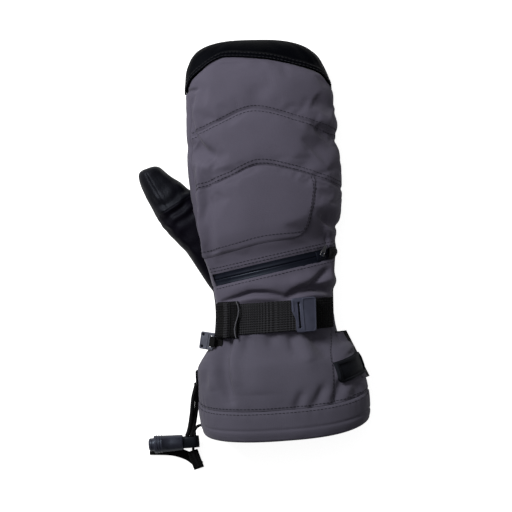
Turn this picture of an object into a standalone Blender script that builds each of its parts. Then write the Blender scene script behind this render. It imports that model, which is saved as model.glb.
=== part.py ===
"""A right-hand ski mitten lying palm down: a padded bag with a leather palm, thumb and fingertip cap,
a zipped pocket on its back, a buckled wrist strap, and a flared cuff with a drawcord and its lock.

Metres. The fingers point along +Y, the thumb is on the -X side and the back of the hand faces +Z.
The origin is on the flat of the palm, which rests on the plane z = 0.
"""

import math
from collections import namedtuple

import bmesh
import bpy
from mathutils import Matrix, Vector

# Sections of the hand and cuff: place along the hand, left and right edges, underside and top
Section = namedtuple("Section", "place left right underside top")
HEM = Section(-0.1675, -0.0630, 0.0730, 0.0000, 0.0740)
CUFF = Section(-0.1460, -0.0645, 0.0735, 0.0000, 0.0725)
FLARE = Section(-0.1200, -0.0595, 0.0675, 0.0005, 0.0660)
STRAP_LOW = Section(-0.0970, -0.0460, 0.0510, 0.0025, 0.0540)
STRAP_HIGH = Section(-0.0700, -0.0430, 0.0520, 0.0025, 0.0535)
HEEL = Section(-0.0450, -0.0455, 0.0550, 0.0010, 0.0550)
PALM = Section(-0.0050, -0.0540, 0.0615, 0.0000, 0.0570)
KNUCKLE = Section(0.0350, -0.0560, 0.0653, 0.0000, 0.0550)
FINGER = Section(0.0800, -0.0545, 0.0650, 0.0000, 0.0510)
TIP = Section(0.1200, -0.0520, 0.0600, 0.0010, 0.0430)
SECTIONS = (HEM, CUFF, FLARE, STRAP_LOW, STRAP_HIGH, HEEL, PALM, KNUCKLE, FINGER, TIP)
FINGERTIP = 0.1410
TIP_ROUNDING = 0.0410
TIP_SKEW = 0.055
SEAM_SHARE = 0.42
PALM_PRESS = 0.0020
UPPER_POWER = 2.5
LOWER_POWER = 3.0
TIP_WIDTH_POWER = 2.6
TIP_HEIGHT_POWER = 2.0

# Layers, counted inwards from the outer skin
SEAM_GAP = 0.0004
LAYER_GAP = 0.0006
SKIN = 0.0012
INSULATION = 0.0068
MEMBRANE = 0.0004
LINING = 0.0010
PANEL_CROWN = 0.0018

# Seams on the back: share of the half width, place along the hand
CAP_SEAM = ((-1.0, 0.0980), (-0.88, 0.1105), (-0.45, 0.1245), (0.10, 0.1235), (0.65, 0.1160), (1.0, 0.0995))
FINGER_SEAM = ((-1.0, 0.0640), (-0.60, 0.0735), (-0.10, 0.0835), (0.50, 0.0735), (1.0, 0.0615))
KNUCKLE_SEAM = ((-1.0, 0.0200), (-0.50, 0.0295), (-0.06, 0.0385), (0.35, 0.0325), (1.0, 0.0160))
GUSSET_COLUMN = 16
SIDE_SEAM_COLUMN = 5
POCKET_SEAM_SHARE = 0.20
WRIST_SEAM = -0.0830
PADDING_END = -0.0850

# Pocket zip, an arc across the back
ZIP_CENTRE = (0.0046, -0.0419)
ZIP_ANGLE = math.radians(8.7)
ZIP_RADIUS = 0.0800
ZIP_HALF_LENGTH = 0.0450
ZIP_WINDOW = 0.0092
ZIP_FLAT = 0.0120
ZIP_FADE = 0.0340
ZIP_END_FADE = 0.0080
ZIP_SIDE_FADE = math.radians(20.0)
TAPE_DEPTH = 0.0018
TAPE_THICKNESS = 0.0006
TAPE_WIDTH = 0.0064
ZIP_SLIT = 0.0011
TEETH_WIDTH = 0.0016
TEETH_THICKNESS = 0.0008
ZIP_CLEARANCE = 0.0003
SLIDER_LENGTH = 0.0080
SLIDER_WIDTH = 0.0070
SLIDER_PLATE = 0.0012
SLIDER_NECK = 0.0005
SLIDER_INSET = 0.0050
SLIDER_REST = ZIP_HALF_LENGTH - SLIDER_INSET
BRIDGE_LENGTH = 0.0034
BRIDGE_WIDTH = 0.0014
BRIDGE_HEIGHT = 0.0030
BRIDGE_BAR = 0.0008
BRIDGE_FOOT = 0.0007
PULL_LENGTH = 0.0090
PULL_WIDTH = 0.0016
PULL_THICKNESS = 0.0008
PULL_RIM = 0.0008
PULL_BAR = 0.0010
PULL_CORNER = 0.0006
PULL_TURN = math.radians(50.0)
POCKET_THICKNESS = 0.0006
POCKET_TOP = 0.0100
POCKET_EASE = 0.0012
POCKET_SHARES = (-0.80, 0.60)
POCKET_SLOPE = (0.25, 0.60)
RECESS_END = 0.0320
RECESS_FADE = 0.0140
RECESS_SHARES = (0.965, 0.998)

# Thumb: distance from its tip, half widths to the left and right, height
ThumbSection = namedtuple("ThumbSection", "distance left right height")
THUMB_SECTIONS = (
    ThumbSection(0.0000, 0.0112, 0.0122, 0.0240),
    ThumbSection(0.0120, 0.0120, 0.0130, 0.0265),
    ThumbSection(0.0220, 0.0132, 0.0172, 0.0290),
    ThumbSection(0.0370, 0.0147, 0.0220, 0.0315),
    ThumbSection(0.0510, 0.0134, 0.0250, 0.0325),
    ThumbSection(0.0760, 0.0092, 0.0250, 0.0310),
    ThumbSection(0.1000, 0.0092, 0.0220, 0.0260),
)
THUMB_TIP = (-0.0885, 0.0420)
THUMB_AXIS = (0.477, -0.879)
THUMB_TIP_ROUNDING = 0.0130
THUMB_POWER = 2.3
THUMB_SEAM_SHARE = 0.46
THUMB_LEATHER = 0.0014
THUMB_LINING = 0.0026
THUMB_JOINT = 0.0280
THUMB_KNUCKLE = 0.0136
THUMB_SWEEP = math.radians(20.0)
THUMB_REACH = 0.0950
THUMB_GAP = 0.0005

# Wrist strap and its buckle
STRAP_CENTRE = -0.0810
STRAP_WIDTH = 0.0240
STRAP_THICKNESS = 0.0012
STRAP_SEAT = 0.0007
STRAP_LEFT = -0.0425
STRAP_COVER_RIGHT = -0.0255
STRAP_COVER_WIDTH = 0.0290
TAIL_LEFT = 0.0000
STRAP_RISE = 0.0120
STRAP_RIGHT_SHARE = 0.985
BUCKLE_CENTRE = 0.0257
BUCKLE_LENGTH = 0.0200
BUCKLE_LIP_STEP = 0.0032
BUCKLE_SLANT = 0.0030
BUCKLE_WIDTH = 0.0272
BUCKLE_CORNER = 0.0017
BUCKLE_SLOT_CORNER = 0.0005
BUCKLE_PLATE = 0.0018
BUCKLE_RAIL = 0.0010
BUCKLE_BAR = 0.0010
BUCKLE_INSET = 0.0001
BUCKLE_SLOT = 0.0013
BUCKLE_SLOT_BAR = 0.0012
BUCKLE_SLOT_LENGTH = 0.0205
BUCKLE_SLOT_PLACE = -0.0045
LOCK_BAR_PLACE = 0.0006
ANCHOR_BAR_PLACE = 0.0070
WEBBING_CLEARANCE = 0.0003
LOOP_LEG = 0.0030
LOOP_TURN_IN = 0.0006
LOOP_END_GAP = 0.0018

# Pair clip at the left of the wrist
CLIP_PLACE = -0.0995
CLIP_ANGLE = math.radians(153.0)
CLIP_STANDOFF = 0.0052
CLIP_TURN = math.radians(-12.5)
CLIP_DROOP = math.radians(18.0)
CLIP_LENGTH = 0.0115
CLIP_WIDTH = 0.0138
CLIP_THICKNESS = 0.0018
CLIP_BAR = 0.0018
CLIP_SLOT = 0.0026
CLIP_SLOT_LENGTH = 0.0090
CLIP_HOLE = 0.0009
CLIP_HOLE_INSET = 0.0022
CLIP_TAPE_WIDTH = 0.0080
CLIP_TAPE_THICKNESS = 0.0007
CLIP_TAPE_LENGTH = 0.0075
CLIP_LOOP = 0.0023

# Cuff
HEM_DIP = 0.0070
HEM_WIDTH = 0.0255
HEM_FOLD = 0.0029
HEM_CLOTH = 0.0012
HEM_FACING = 0.0200
CUFF_SIDE_COLUMN = 5
CUFF_UNDER_COLUMN = -3
CUFF_ROWS = 6
CUFF_LINING_FLARE = -0.1120
ELASTIC_PLACES = (-0.0980, -0.0860)
ELASTIC_THICKNESS = 0.0010
LABEL_ANGLES = (math.radians(13.0), math.radians(48.0))
LABEL_PLACE = -0.1215
LABEL_SLOPE = 0.0070
LABEL_HEIGHT = 0.0170
LABEL_THICKNESS = 0.0012
EDGE_TAPE_ANGLES = (math.radians(-9.0), math.radians(9.0))
EDGE_TAPE_PLACES = (-0.1360, -0.1000)
EDGE_TAPE_THICKNESS = 0.0016
EDGE_TAPE_LIFT = 0.0030

# Drawcord, its lock and the tether
DRAWCORD = 0.0022
TETHER_CORD = 0.0032
CORD_SIDES = 2
CORD_STEP = 3.0
EXIT_ANGLES = (math.radians(194.0), math.radians(202.0))
EYELET = 0.0042
EYELET_HEIGHT = 0.0010
EYELET_BEVEL = 0.0004
LOCK_PLACE = (-0.0710, -0.1780)
LOCK_COLLAR = 0.0060
LOCK_COLLAR_LENGTH = 0.0130
LOCK_HOLE = (0.0108, 0.0070)
LOCK_HOLE_CORNER = 0.0010
LOCK_NECK = 0.0060
LOCK_MOUTH = 0.0072
LOCK_LENGTH = 0.0235
LOCK_BORE = 0.0056
LOCK_BORE_DEPTH = 0.0150
PLUNGER_CLEARANCE = 0.0003
PLUNGER_LENGTH = 0.0070
PLUNGER_BEVEL = 0.0016
PLUNGER_PROUD = 0.0045
PLUNGER_STEM = 0.0020
PLUNGER_STEM_LENGTH = 0.0035
SPRING_RADIUS = 0.0036
SPRING_WIRE = 0.0009
SPRING_TURNS = 4
PULL_TAPE_WIDTH = 0.0072
PULL_TAPE_THICKNESS = 0.0013
PULL_TAB_WIDTH = 0.0085
PULL_TAB_THICKNESS = 0.0026
TETHER_ANGLE = math.radians(174.0)
TETHER_PLACE = -0.1300
TETHER_PATCH = (0.0110, 0.0090)
TETHER_PATCH_THICKNESS = 0.0012
TETHER_STANDOFF = 0.0010
TAIL_ROUTE = ((-0.0655, -0.1985), (-0.0760, -0.1895), (-0.0890, -0.1850), (-0.1055, -0.1833))
TAB_ROUTE = ((-0.0702, -0.1862, 0.0080), (-0.0690, -0.1910, 0.0062), (-0.0664, -0.2005, 0.0031))
TETHER_ROUTES = (
    ((-0.0712, -0.1440, 0.0240), (-0.0728, -0.1580, 0.0150), (-0.0740, -0.1700, 0.0100)),
    ((-0.0674, -0.1440, 0.0240), (-0.0688, -0.1580, 0.0150), (-0.0705, -0.1700, 0.0100)),
)
TETHER_ENDS = (-0.0031, 0.0005)
STRAND_END = 0.0034
STRAND_LEAD = 0.0033
STRAND_LEVELS = (0.0014, -0.0014)

# Looks: base colour, roughness, metallic
LOOKS = {
    "softshell": ((0.095, 0.086, 0.118), 0.85, 0.0),
    "leather": ((0.012, 0.012, 0.016), 0.50, 0.0),
    "insulation": ((0.80, 0.80, 0.78), 0.95, 0.0),
    "membrane": ((0.70, 0.72, 0.75), 0.40, 0.0),
    "fleece": ((0.030, 0.030, 0.034), 0.95, 0.0),
    "webbing": ((0.012, 0.012, 0.014), 0.80, 0.0),
    "laminate": ((0.020, 0.021, 0.026), 0.30, 0.0),
    "buckle": ((0.040, 0.041, 0.058), 0.45, 0.0),
    "clip": ((0.080, 0.080, 0.100), 0.50, 0.0),
    "rubber": ((0.006, 0.006, 0.008), 0.60, 0.0),
    "cord": ((0.010, 0.010, 0.012), 0.75, 0.0),
    "lock": ((0.012, 0.013, 0.020), 0.35, 0.0),
    "metal": ((0.30, 0.30, 0.32), 0.35, 1.0),
}

WALL_TOLERANCE = 1e-5
MERGE = 1e-6
SHARP_ANGLE = math.radians(40.0)
TURN_STEPS = 20
TANGENT_STEP = 0.01


def clear_scene():
    """Empties the scene and gives the collections for the parts and the cutters."""
    for item in list(bpy.data.objects):
        bpy.data.objects.remove(item, do_unlink=True)
    made = []
    for name in ("ski_mitten", "cutters"):
        collection = bpy.data.collections.new(name)
        bpy.context.scene.collection.children.link(collection)
        made.append(collection)
    return made


PARTS, CUTTERS = clear_scene()


def mix(low, high, share):
    return low + (high - low) * share


def fade(value, inner, outer):
    """1 up to the inner value, 0 from the outer one on, and a smooth step between them."""
    share = min(max((outer - value) / (outer - inner), 0.0), 1.0)
    return share * share * (3.0 - 2.0 * share)


def signed_power(value, power):
    return math.copysign(abs(value) ** power, value)


def smooth_curve(points):
    """A smooth function through (position, value) pairs that never overshoots them."""
    slopes = [(b[1] - a[1]) / (b[0] - a[0]) for a, b in zip(points, points[1:])]
    tangents = [slopes[0]]
    for before, after in zip(slopes, slopes[1:]):
        turning = before * after <= 0.0
        tangents.append(0.0 if turning else 2.0 * before * after / (before + after))
    tangents.append(slopes[-1])

    def value(position):
        position = min(max(position, points[0][0]), points[-1][0])
        index = next(i for i in range(len(slopes)) if position <= points[i + 1][0])
        (start, low), (end, high) = points[index], points[index + 1]
        step = end - start
        t = (position - start) / step
        ends = low * (1 + 2 * t) * (1 - t) ** 2 + high * t * t * (3 - 2 * t)
        bends = tangents[index] * t * (1 - t) ** 2 - tangents[index + 1] * t * t * (1 - t)
        return ends + step * bends

    return value


# The outer skin of the hand and cuff

left_edge = smooth_curve([(s.place, s.left) for s in SECTIONS])
right_edge = smooth_curve([(s.place, s.right) for s in SECTIONS])
underside = smooth_curve([(s.place, s.underside) for s in SECTIONS])
top_line = smooth_curve([(s.place, s.top) for s in SECTIONS])
ZIP_CREST = top_line(ZIP_CENTRE[1])
ZIP_ALONG = Vector((math.cos(ZIP_ANGLE), math.sin(ZIP_ANGLE), 0.0))
ZIP_OVER = Vector((-math.sin(ZIP_ANGLE), math.cos(ZIP_ANGLE), 0.0))
UP = Vector((0.0, 0.0, 1.0))


def middle(place):
    return 0.5 * (left_edge(place) + right_edge(place))


def half_width(place):
    return 0.5 * (right_edge(place) - left_edge(place))


def share_across(angle):
    """How far across the back an angle round the section lies, from -1 at the left to 1."""
    return signed_power(math.cos(angle), 2.0 / UPPER_POWER)


def angle_for(share):
    return math.acos(signed_power(share, UPPER_POWER / 2.0))


def angle_at(x, place, height=0.0):
    return angle_for((x - middle(place)) / (half_width(place) + height))


def tip_place(depth):
    return FINGERTIP - depth


def tip_closing(place, depth, power):
    start = FINGERTIP - TIP_ROUNDING
    share = min(max((place - start) / (tip_place(depth) - start), 0.0), 1.0)
    return (1.0 - share ** power) ** (1.0 / power)


def zip_arc_height(point, depth):
    """How near a point is to the zip, from 0 to 1, and the height of the zip's arc there."""
    offset = point - Vector((*ZIP_CENTRE, 0.0))
    along = offset.dot(ZIP_ALONG)
    near = fade(abs(offset.dot(ZIP_OVER)), ZIP_FLAT, ZIP_FADE)
    near *= fade(abs(along), ZIP_HALF_LENGTH, ZIP_HALF_LENGTH + ZIP_END_FADE)
    reach = min(abs(along), ZIP_HALF_LENGTH + ZIP_END_FADE)
    return near, ZIP_CREST - ZIP_RADIUS + math.sqrt((ZIP_RADIUS - depth) ** 2 - reach ** 2)


def skin_point(angle, place, depth):
    """The point at an angle round the section at a place along the hand, a depth below the outer skin."""
    low, high = underside(place), top_line(place)
    waist = mix(low, high, SEAM_SHARE)
    upper = math.sin(angle) >= 0.0
    power = 2.0 / (UPPER_POWER if upper else LOWER_POWER)
    rise = high - waist - depth if upper else waist - low + PALM_PRESS - depth
    half = (half_width(place) - depth) * tip_closing(place, depth, TIP_WIDTH_POWER)
    across = half * signed_power(math.cos(angle), power)
    up = rise * tip_closing(place, depth, TIP_HEIGHT_POWER) * signed_power(math.sin(angle), power)
    skew = TIP_SKEW * fade(TIP.place - place, 0.0, TIP.place - KNUCKLE.place)
    point = Vector((middle(place) + across, place - skew * across, max(waist + up, depth)))
    if upper:
        near, height = zip_arc_height(point, depth)
        near *= fade(ZIP_SIDE_FADE - min(angle, math.pi - angle), 0.0, ZIP_SIDE_FADE)
        point.z = mix(point.z, height, near)
    return point


def zip_point(turn, across, depth):
    """A point on the zip's arc, at an angle from its middle and a distance across it."""
    centre = Vector((*ZIP_CENTRE, ZIP_CREST - ZIP_RADIUS))
    out = math.sin(turn) * ZIP_ALONG + math.cos(turn) * UP
    return centre + (ZIP_RADIUS - depth) * out + across * ZIP_OVER


# Making objects


def material_for(name, look):
    colour, roughness, metallic = LOOKS[look]
    material = bpy.data.materials.new(name)
    material.use_nodes = True
    shader = material.node_tree.nodes["Principled BSDF"]
    shader.inputs["Base Color"].default_value = (*colour, 1.0)
    shader.inputs["Roughness"].default_value = roughness
    shader.inputs["Metallic"].default_value = metallic
    return material


def add_part(name, mesh, look, parent=None):
    """Puts a mesh among the parts, with its own material, under its parent if it has one."""
    part = bpy.data.objects.new(name, mesh)
    mesh.shade_smooth()
    mesh.set_sharp_from_angle(angle=SHARP_ANGLE)
    mesh.materials.clear()
    mesh.materials.append(material_for(name, look))
    PARTS.objects.link(part)
    if parent:
        part.parent = parent
    return part


def add_cutter(name, mesh):
    cutter = bpy.data.objects.new(name, mesh)
    cutter.hide_render = True
    cutter.display_type = "WIRE"
    CUTTERS.objects.link(cutter)
    return cutter


def add_empty(name, frame, parent=None):
    """An empty on a joint's axis: frame is its matrix in its parent's space."""
    empty = bpy.data.objects.new(name, None)
    empty.parent = parent
    empty.matrix_local = frame
    PARTS.objects.link(empty)
    return empty


def boolean(target, cutter, operation="DIFFERENCE", solver="EXACT"):
    modifier = target.modifiers.new(cutter.name, "BOOLEAN")
    modifier.operation = operation
    modifier.object = cutter
    modifier.solver = solver


def mesh_from(shape, name):
    bmesh.ops.recalc_face_normals(shape, faces=shape.faces[:])
    if shape.calc_volume(signed=True) < 0.0:
        bmesh.ops.reverse_faces(shape, faces=shape.faces[:])
    mesh = bpy.data.meshes.new(name)
    shape.to_mesh(mesh)
    shape.free()
    return mesh


def unit_slab(columns, rows, keep=None):
    """A slab of cells one unit each way; keep(u, v) leaves out cells by their middle."""
    shape = bmesh.new()
    bmesh.ops.create_grid(shape, x_segments=columns, y_segments=rows, size=0.5)
    bmesh.ops.translate(shape, vec=(0.5, 0.5, 0.0), verts=shape.verts[:])
    if keep:
        dropped = [face for face in shape.faces if not keep(*face.calc_center_median()[:2])]
        bmesh.ops.delete(shape, geom=dropped, context="FACES")
    raised = bmesh.ops.extrude_face_region(shape, geom=shape.faces[:], use_keep_orig=True)
    deep = [item for item in raised["geom"] if isinstance(item, bmesh.types.BMVert)]
    bmesh.ops.translate(shape, vec=UP, verts=deep)
    return shape


def open_walls(shape, axis, levels):
    """Takes away the slab's walls at some levels of an axis, where its sides will be joined."""
    walls = []
    for face in shape.faces:
        for level in levels:
            if all(abs(vertex.co[axis] - level) < WALL_TOLERANCE for vertex in face.verts):
                walls.append(face)
    bmesh.ops.delete(shape, geom=walls, context="FACES")


def slab_mesh(name, columns, rows, place, closed=False, tip=False, keep=None):
    """A sheet with thickness: place(u, v, w) gives its points, u across, v along and w from out to in.
    A closed one joins its two sides into a tube, and a tip gathers its far end in one point."""
    shape = unit_slab(columns, rows, keep)
    if closed:
        open_walls(shape, 0, (0.0, 1.0))
    if tip:
        open_walls(shape, 1, (1.0,))
    for vertex in shape.verts:
        vertex.co = place(*vertex.co)
    if closed or tip:
        bmesh.ops.remove_doubles(shape, verts=shape.verts[:], dist=MERGE)
    return mesh_from(shape, name)


def plug_mesh(name, columns, rows, place):
    """A solid tube with flat ends, for a cutter: place(u, v) gives its skin."""
    shape = bmesh.new()
    bmesh.ops.create_grid(shape, x_segments=columns, y_segments=rows, size=0.5)
    for vertex in shape.verts:
        vertex.co = place(vertex.co.x + 0.5, vertex.co.y + 0.5)
    bmesh.ops.remove_doubles(shape, verts=shape.verts[:], dist=MERGE)
    rims = [edge for edge in shape.edges if edge.is_boundary]
    bmesh.ops.holes_fill(shape, edges=rims)
    return mesh_from(shape, name)


def box_mesh(name, low, high):
    shape = bmesh.new()
    size = Vector(high) - Vector(low)
    matrix = Matrix.Translation((Vector(high) + Vector(low)) / 2.0) @ Matrix.Diagonal((*size, 1.0))
    bmesh.ops.create_cube(shape, size=1.0, matrix=matrix)
    return mesh_from(shape, name)


def rod_mesh(name, low, high, radius, segments=16):
    """A rod between two points."""
    shape = bmesh.new()
    run = Vector(high) - Vector(low)
    turn = UP.rotation_difference(run).to_matrix().to_4x4()
    matrix = Matrix.Translation((Vector(high) + Vector(low)) / 2.0) @ turn
    bmesh.ops.create_cone(shape, cap_ends=True, segments=segments, radius1=radius, radius2=radius,
                          depth=run.length, matrix=matrix)
    return mesh_from(shape, name)


def curve_mesh(name, curve):
    """The welded mesh of a curve."""
    holder = bpy.data.objects.new(name, curve)
    CUTTERS.objects.link(holder)
    graph = bpy.context.evaluated_depsgraph_get()
    mesh = bpy.data.meshes.new_from_object(holder.evaluated_get(graph))
    bpy.data.objects.remove(holder, do_unlink=True)
    shape = bmesh.new()
    shape.from_mesh(mesh)
    bmesh.ops.remove_doubles(shape, verts=shape.verts[:], dist=MERGE)
    bpy.data.meshes.remove(mesh)
    return mesh_from(shape, name)


def outline_mesh(name, outlines, low, high):
    """A flat plate between two heights: the first outline is its rim and the others are holes."""
    curve = bpy.data.curves.new(name, "CURVE")
    curve.dimensions = "2D"
    curve.fill_mode = "BOTH"
    curve.extrude = 0.5 * (high - low)
    for outline in outlines:
        spline = curve.splines.new("POLY")
        spline.use_cyclic_u = True
        spline.points.add(len(outline) - 1)
        for point, corner in zip(spline.points, outline):
            point.co = (*corner, 0.0, 1.0)
    mesh = curve_mesh(name, curve)
    mesh.transform(Matrix.Translation((0.0, 0.0, 0.5 * (low + high))))
    return mesh


def rounded(corners, radius, steps=3):
    """An outline with each corner rounded off by an arc of a quadratic curve."""
    outline = []
    count = len(corners)
    for index, corner in enumerate(corners):
        corner = Vector(corner)
        before = Vector(corners[index - 1])
        after = Vector(corners[(index + 1) % count])
        start = corner + (before - corner).normalized() * radius
        end = corner + (after - corner).normalized() * radius
        for step in range(steps + 1):
            t = step / steps
            outline.append(tuple(start * (1 - t) ** 2 + corner * 2 * t * (1 - t) + end * t * t))
    return outline


def rectangle(low, high):
    return [(low[0], low[1]), (high[0], low[1]), (high[0], high[1]), (low[0], high[1])]


def route_curve(points):
    """A smooth path through points, as a function of the share of the way."""
    points = [Vector(point) for point in points]
    lengths = [0.0]
    for a, b in zip(points, points[1:]):
        lengths.append(lengths[-1] + (b - a).length)
    axes = [smooth_curve([(s, p[axis]) for s, p in zip(lengths, points)]) for axis in range(len(points[0]))]
    return lengths[-1], lambda share: Vector([axis(share * lengths[-1]) for axis in axes])


def add_cord(name, points, diameter, look):
    """A plain tube along a smooth route, with a point every few diameters."""
    length, path = route_curve(points)
    count = max(4, round(length / (CORD_STEP * diameter)))
    curve = bpy.data.curves.new(name, "CURVE")
    curve.dimensions = "3D"
    curve.bevel_depth = 0.5 * diameter
    curve.bevel_resolution = CORD_SIDES
    curve.use_fill_caps = True
    spline = curve.splines.new("POLY")
    spline.points.add(count)
    for index, point in enumerate(spline.points):
        point.co = (*path(index / count), 1.0)
    return add_part(name, curve_mesh(name, curve), look)


def add_turned(name, profile, look, frame, parent=None):
    """A part turned about its own Z axis: profile is its (radius, height) outline, either way round."""
    shape = bmesh.new()
    corners = [shape.verts.new((radius, 0.0, height)) for radius, height in profile]
    for pair in zip(corners, corners[1:]):
        shape.edges.new(pair)
    bmesh.ops.remove_doubles(shape, verts=shape.verts[:], dist=MERGE)
    mesh = bpy.data.meshes.new(name)
    shape.to_mesh(mesh)
    shape.free()
    part = add_part(name, mesh, look, parent)
    part.matrix_local = frame
    turn = part.modifiers.new("turn", "SCREW")
    turn.steps = turn.render_steps = TURN_STEPS
    turn.use_merge_vertices = True
    turn.merge_threshold = MERGE
    turn.use_normal_flip = sum(a[0] * b[1] - b[0] * a[1] for a, b in zip(profile, profile[1:])) > 0.0
    weld = part.modifiers.new("weld", "WELD")
    weld.merge_threshold = MERGE
    return part


# Layers of the hand

INSULATION_TOP = SKIN + LAYER_GAP
INSULATION_BOTTOM = INSULATION_TOP + INSULATION
MEMBRANE_TOP = INSULATION_BOTTOM + LAYER_GAP
MEMBRANE_BOTTOM = MEMBRANE_TOP + MEMBRANE
LINING_TOP = MEMBRANE_BOTTOM + LAYER_GAP
LINING_BOTTOM = LINING_TOP + LINING
TEETH_DEPTH = TAPE_DEPTH + TAPE_THICKNESS + ZIP_CLEARANCE
UNDERPLATE_DEPTH = TEETH_DEPTH + TEETH_THICKNESS + ZIP_CLEARANCE
POCKET_DEPTH = UNDERPLATE_DEPTH + TAPE_THICKNESS + ZIP_CLEARANCE + SEAM_GAP
RECESS_DEPTH = POCKET_DEPTH + POCKET_THICKNESS + LAYER_GAP + POCKET_EASE
SEAM_TURN = SEAM_GAP / half_width(PALM.place)
HAND_COLUMNS = 18
INNER_COLUMNS = 9
HAND_ROWS = 15
BODY_SHARE = 0.6
COLUMN = math.pi / HAND_COLUMNS
GUSSET_ANGLE = GUSSET_COLUMN * COLUMN
SIDE_SEAM_ANGLE = SIDE_SEAM_COLUMN * COLUMN
HALF_GAP = Vector((0.0, 0.0, SEAM_GAP / 2.0))

cap_seam = smooth_curve(CAP_SEAM)
finger_seam = smooth_curve(FINGER_SEAM)
knuckle_seam = smooth_curve(KNUCKLE_SEAM)


def zip_line(share, offset):
    """Where the edge of the zip's window crosses a share of the back."""
    x = middle(ZIP_CENTRE[1]) + half_width(ZIP_CENTRE[1]) * share
    return ZIP_CENTRE[1] + math.tan(ZIP_ANGLE) * (x - ZIP_CENTRE[0]) + offset / math.cos(ZIP_ANGLE)


def zip_top(share):
    return zip_line(share, ZIP_WINDOW / 2.0)


def zip_bottom(share):
    return zip_line(share, -ZIP_WINDOW / 2.0)


def bulge(u, v):
    return (1.0 - (2.0 * u - 1.0) ** 4) * (1.0 - (2.0 * v - 1.0) ** 4)


def tip_rows(start, tip, v):
    """Places of rows from a start to the fingertips, crowded together where the tip is round."""
    bend = max(FINGERTIP - TIP_ROUNDING, start)
    if v < BODY_SHARE:
        return mix(start, bend, v / BODY_SHARE)
    return mix(bend, tip, math.sin((v - BODY_SHARE) / (1.0 - BODY_SHARE) * math.pi / 2.0))


def back_panel(name, columns, rows, angles, low, high, crown):
    """A panel on the back between two seams, crowned between them."""

    def place(u, v, w):
        angle = mix(angles[0], angles[1], u)
        share = share_across(angle)
        y = mix(low(share) + SEAM_GAP / 2.0, high(share) - SEAM_GAP / 2.0, v)
        return skin_point(angle, y, w * SKIN - crown * bulge(u, v)) + HALF_GAP

    return add_part(name, slab_mesh(name, columns, rows, place), "softshell")


def add_fingertip_cap():
    def place(u, v, w):
        angle = mix(0.0, math.pi, u)
        depth = w * SKIN
        start = cap_seam(share_across(angle)) + SEAM_GAP / 2.0
        turn = math.sin(v * math.pi / 2.0)
        return skin_point(angle, mix(start, tip_place(depth), turn), depth) + HALF_GAP

    mesh = slab_mesh("fingertip_cap", HAND_COLUMNS, 6, place, tip=True)
    add_part("fingertip_cap", mesh, "leather")


def add_outer_side_panel():
    """The L-shaped panel beside and below the pocket panel."""
    side_columns, columns = SIDE_SEAM_COLUMN, GUSSET_COLUMN
    band_rows, rows = 2, 8
    corner = side_columns / columns
    band = band_rows / rows

    def angle_of(u):
        if u <= corner:
            return mix(0.0, SIDE_SEAM_ANGLE, u / corner)
        return mix(SIDE_SEAM_ANGLE, GUSSET_ANGLE - SEAM_TURN, (u - corner) / (1.0 - corner))

    def height_of(v):
        if v <= band:
            return POCKET_SEAM_SHARE * v / band
        return mix(POCKET_SEAM_SHARE, 1.0, (v - band) / (1.0 - band))

    def place(u, v, w):
        angle = angle_of(u)
        share = share_across(angle)
        low, high = zip_top(share), knuckle_seam(share) - SEAM_GAP / 2.0
        return skin_point(angle, mix(low, high, height_of(v)), w * SKIN) + HALF_GAP

    def keep(u, v):
        return u < corner or v < band

    mesh = slab_mesh("outer_side_panel", columns, rows, place, keep=keep)
    add_part("outer_side_panel", mesh, "softshell")


def add_back_panels():
    full = (0.0, math.pi)
    inner = (0.0, GUSSET_ANGLE - SEAM_TURN)
    pocket = (SIDE_SEAM_ANGLE + SEAM_TURN, GUSSET_ANGLE - SEAM_TURN)

    def pocket_seam(share):
        return mix(zip_top(share), knuckle_seam(share), POCKET_SEAM_SHARE)

    def wrist_seam(share):
        return WRIST_SEAM

    gusset = (GUSSET_ANGLE, math.pi)
    pocket_columns = GUSSET_COLUMN - SIDE_SEAM_COLUMN
    gusset_columns = HAND_COLUMNS - GUSSET_COLUMN
    back_panel("finger_back_panel", HAND_COLUMNS, 5, full, finger_seam, cap_seam, PANEL_CROWN)
    back_panel("knuckle_back_panel", GUSSET_COLUMN, 5, inner, knuckle_seam, finger_seam, PANEL_CROWN)
    back_panel("hand_back_panel", pocket_columns, 6, pocket, pocket_seam, knuckle_seam, PANEL_CROWN)
    back_panel("wrist_back_panel", HAND_COLUMNS, 4, full, wrist_seam, zip_bottom, 0.0)
    back_panel("inner_side_gusset", gusset_columns, 12, gusset, zip_bottom, finger_seam, 0.0)
    add_outer_side_panel()
    add_fingertip_cap()


def half_layer(name, side, start, depths, columns, look):
    """One half of a layer of the hand, closed at the fingertips: side is 1 on the back, -1 on the palm."""

    def place(u, v, w):
        angle = side * mix(0.0, math.pi, u)
        y = tip_rows(start, tip_place(depths(0.0, FINGERTIP, w)), v)
        depth = depths(share_across(angle), y, w)
        point = skin_point(angle, y, depth) + side * HALF_GAP
        point.z = max(point.z, depth)
        return point

    mesh = slab_mesh(name, columns, HAND_ROWS, place, tip=True)
    return add_part(name, mesh, look)


def add_palm_panel():
    def depths(share, y, w):
        return w * SKIN

    return half_layer("palm_panel", -1.0, WRIST_SEAM, depths, HAND_COLUMNS, "leather")


def add_insulation():
    def palm_depths(share, y, w):
        return mix(INSULATION_TOP, INSULATION_BOTTOM, w)

    def back_depths(share, y, w):
        recess = fade(y, RECESS_END, RECESS_END + RECESS_FADE) * fade(abs(share), *RECESS_SHARES)
        outer = mix(INSULATION_TOP, RECESS_DEPTH, recess)
        return mix(outer, INSULATION_BOTTOM, w)

    back = half_layer("back_insulation", 1.0, PADDING_END, back_depths, INNER_COLUMNS, "insulation")
    palm = half_layer("palm_insulation", -1.0, PADDING_END, palm_depths, INNER_COLUMNS, "insulation")
    return back, palm


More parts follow.
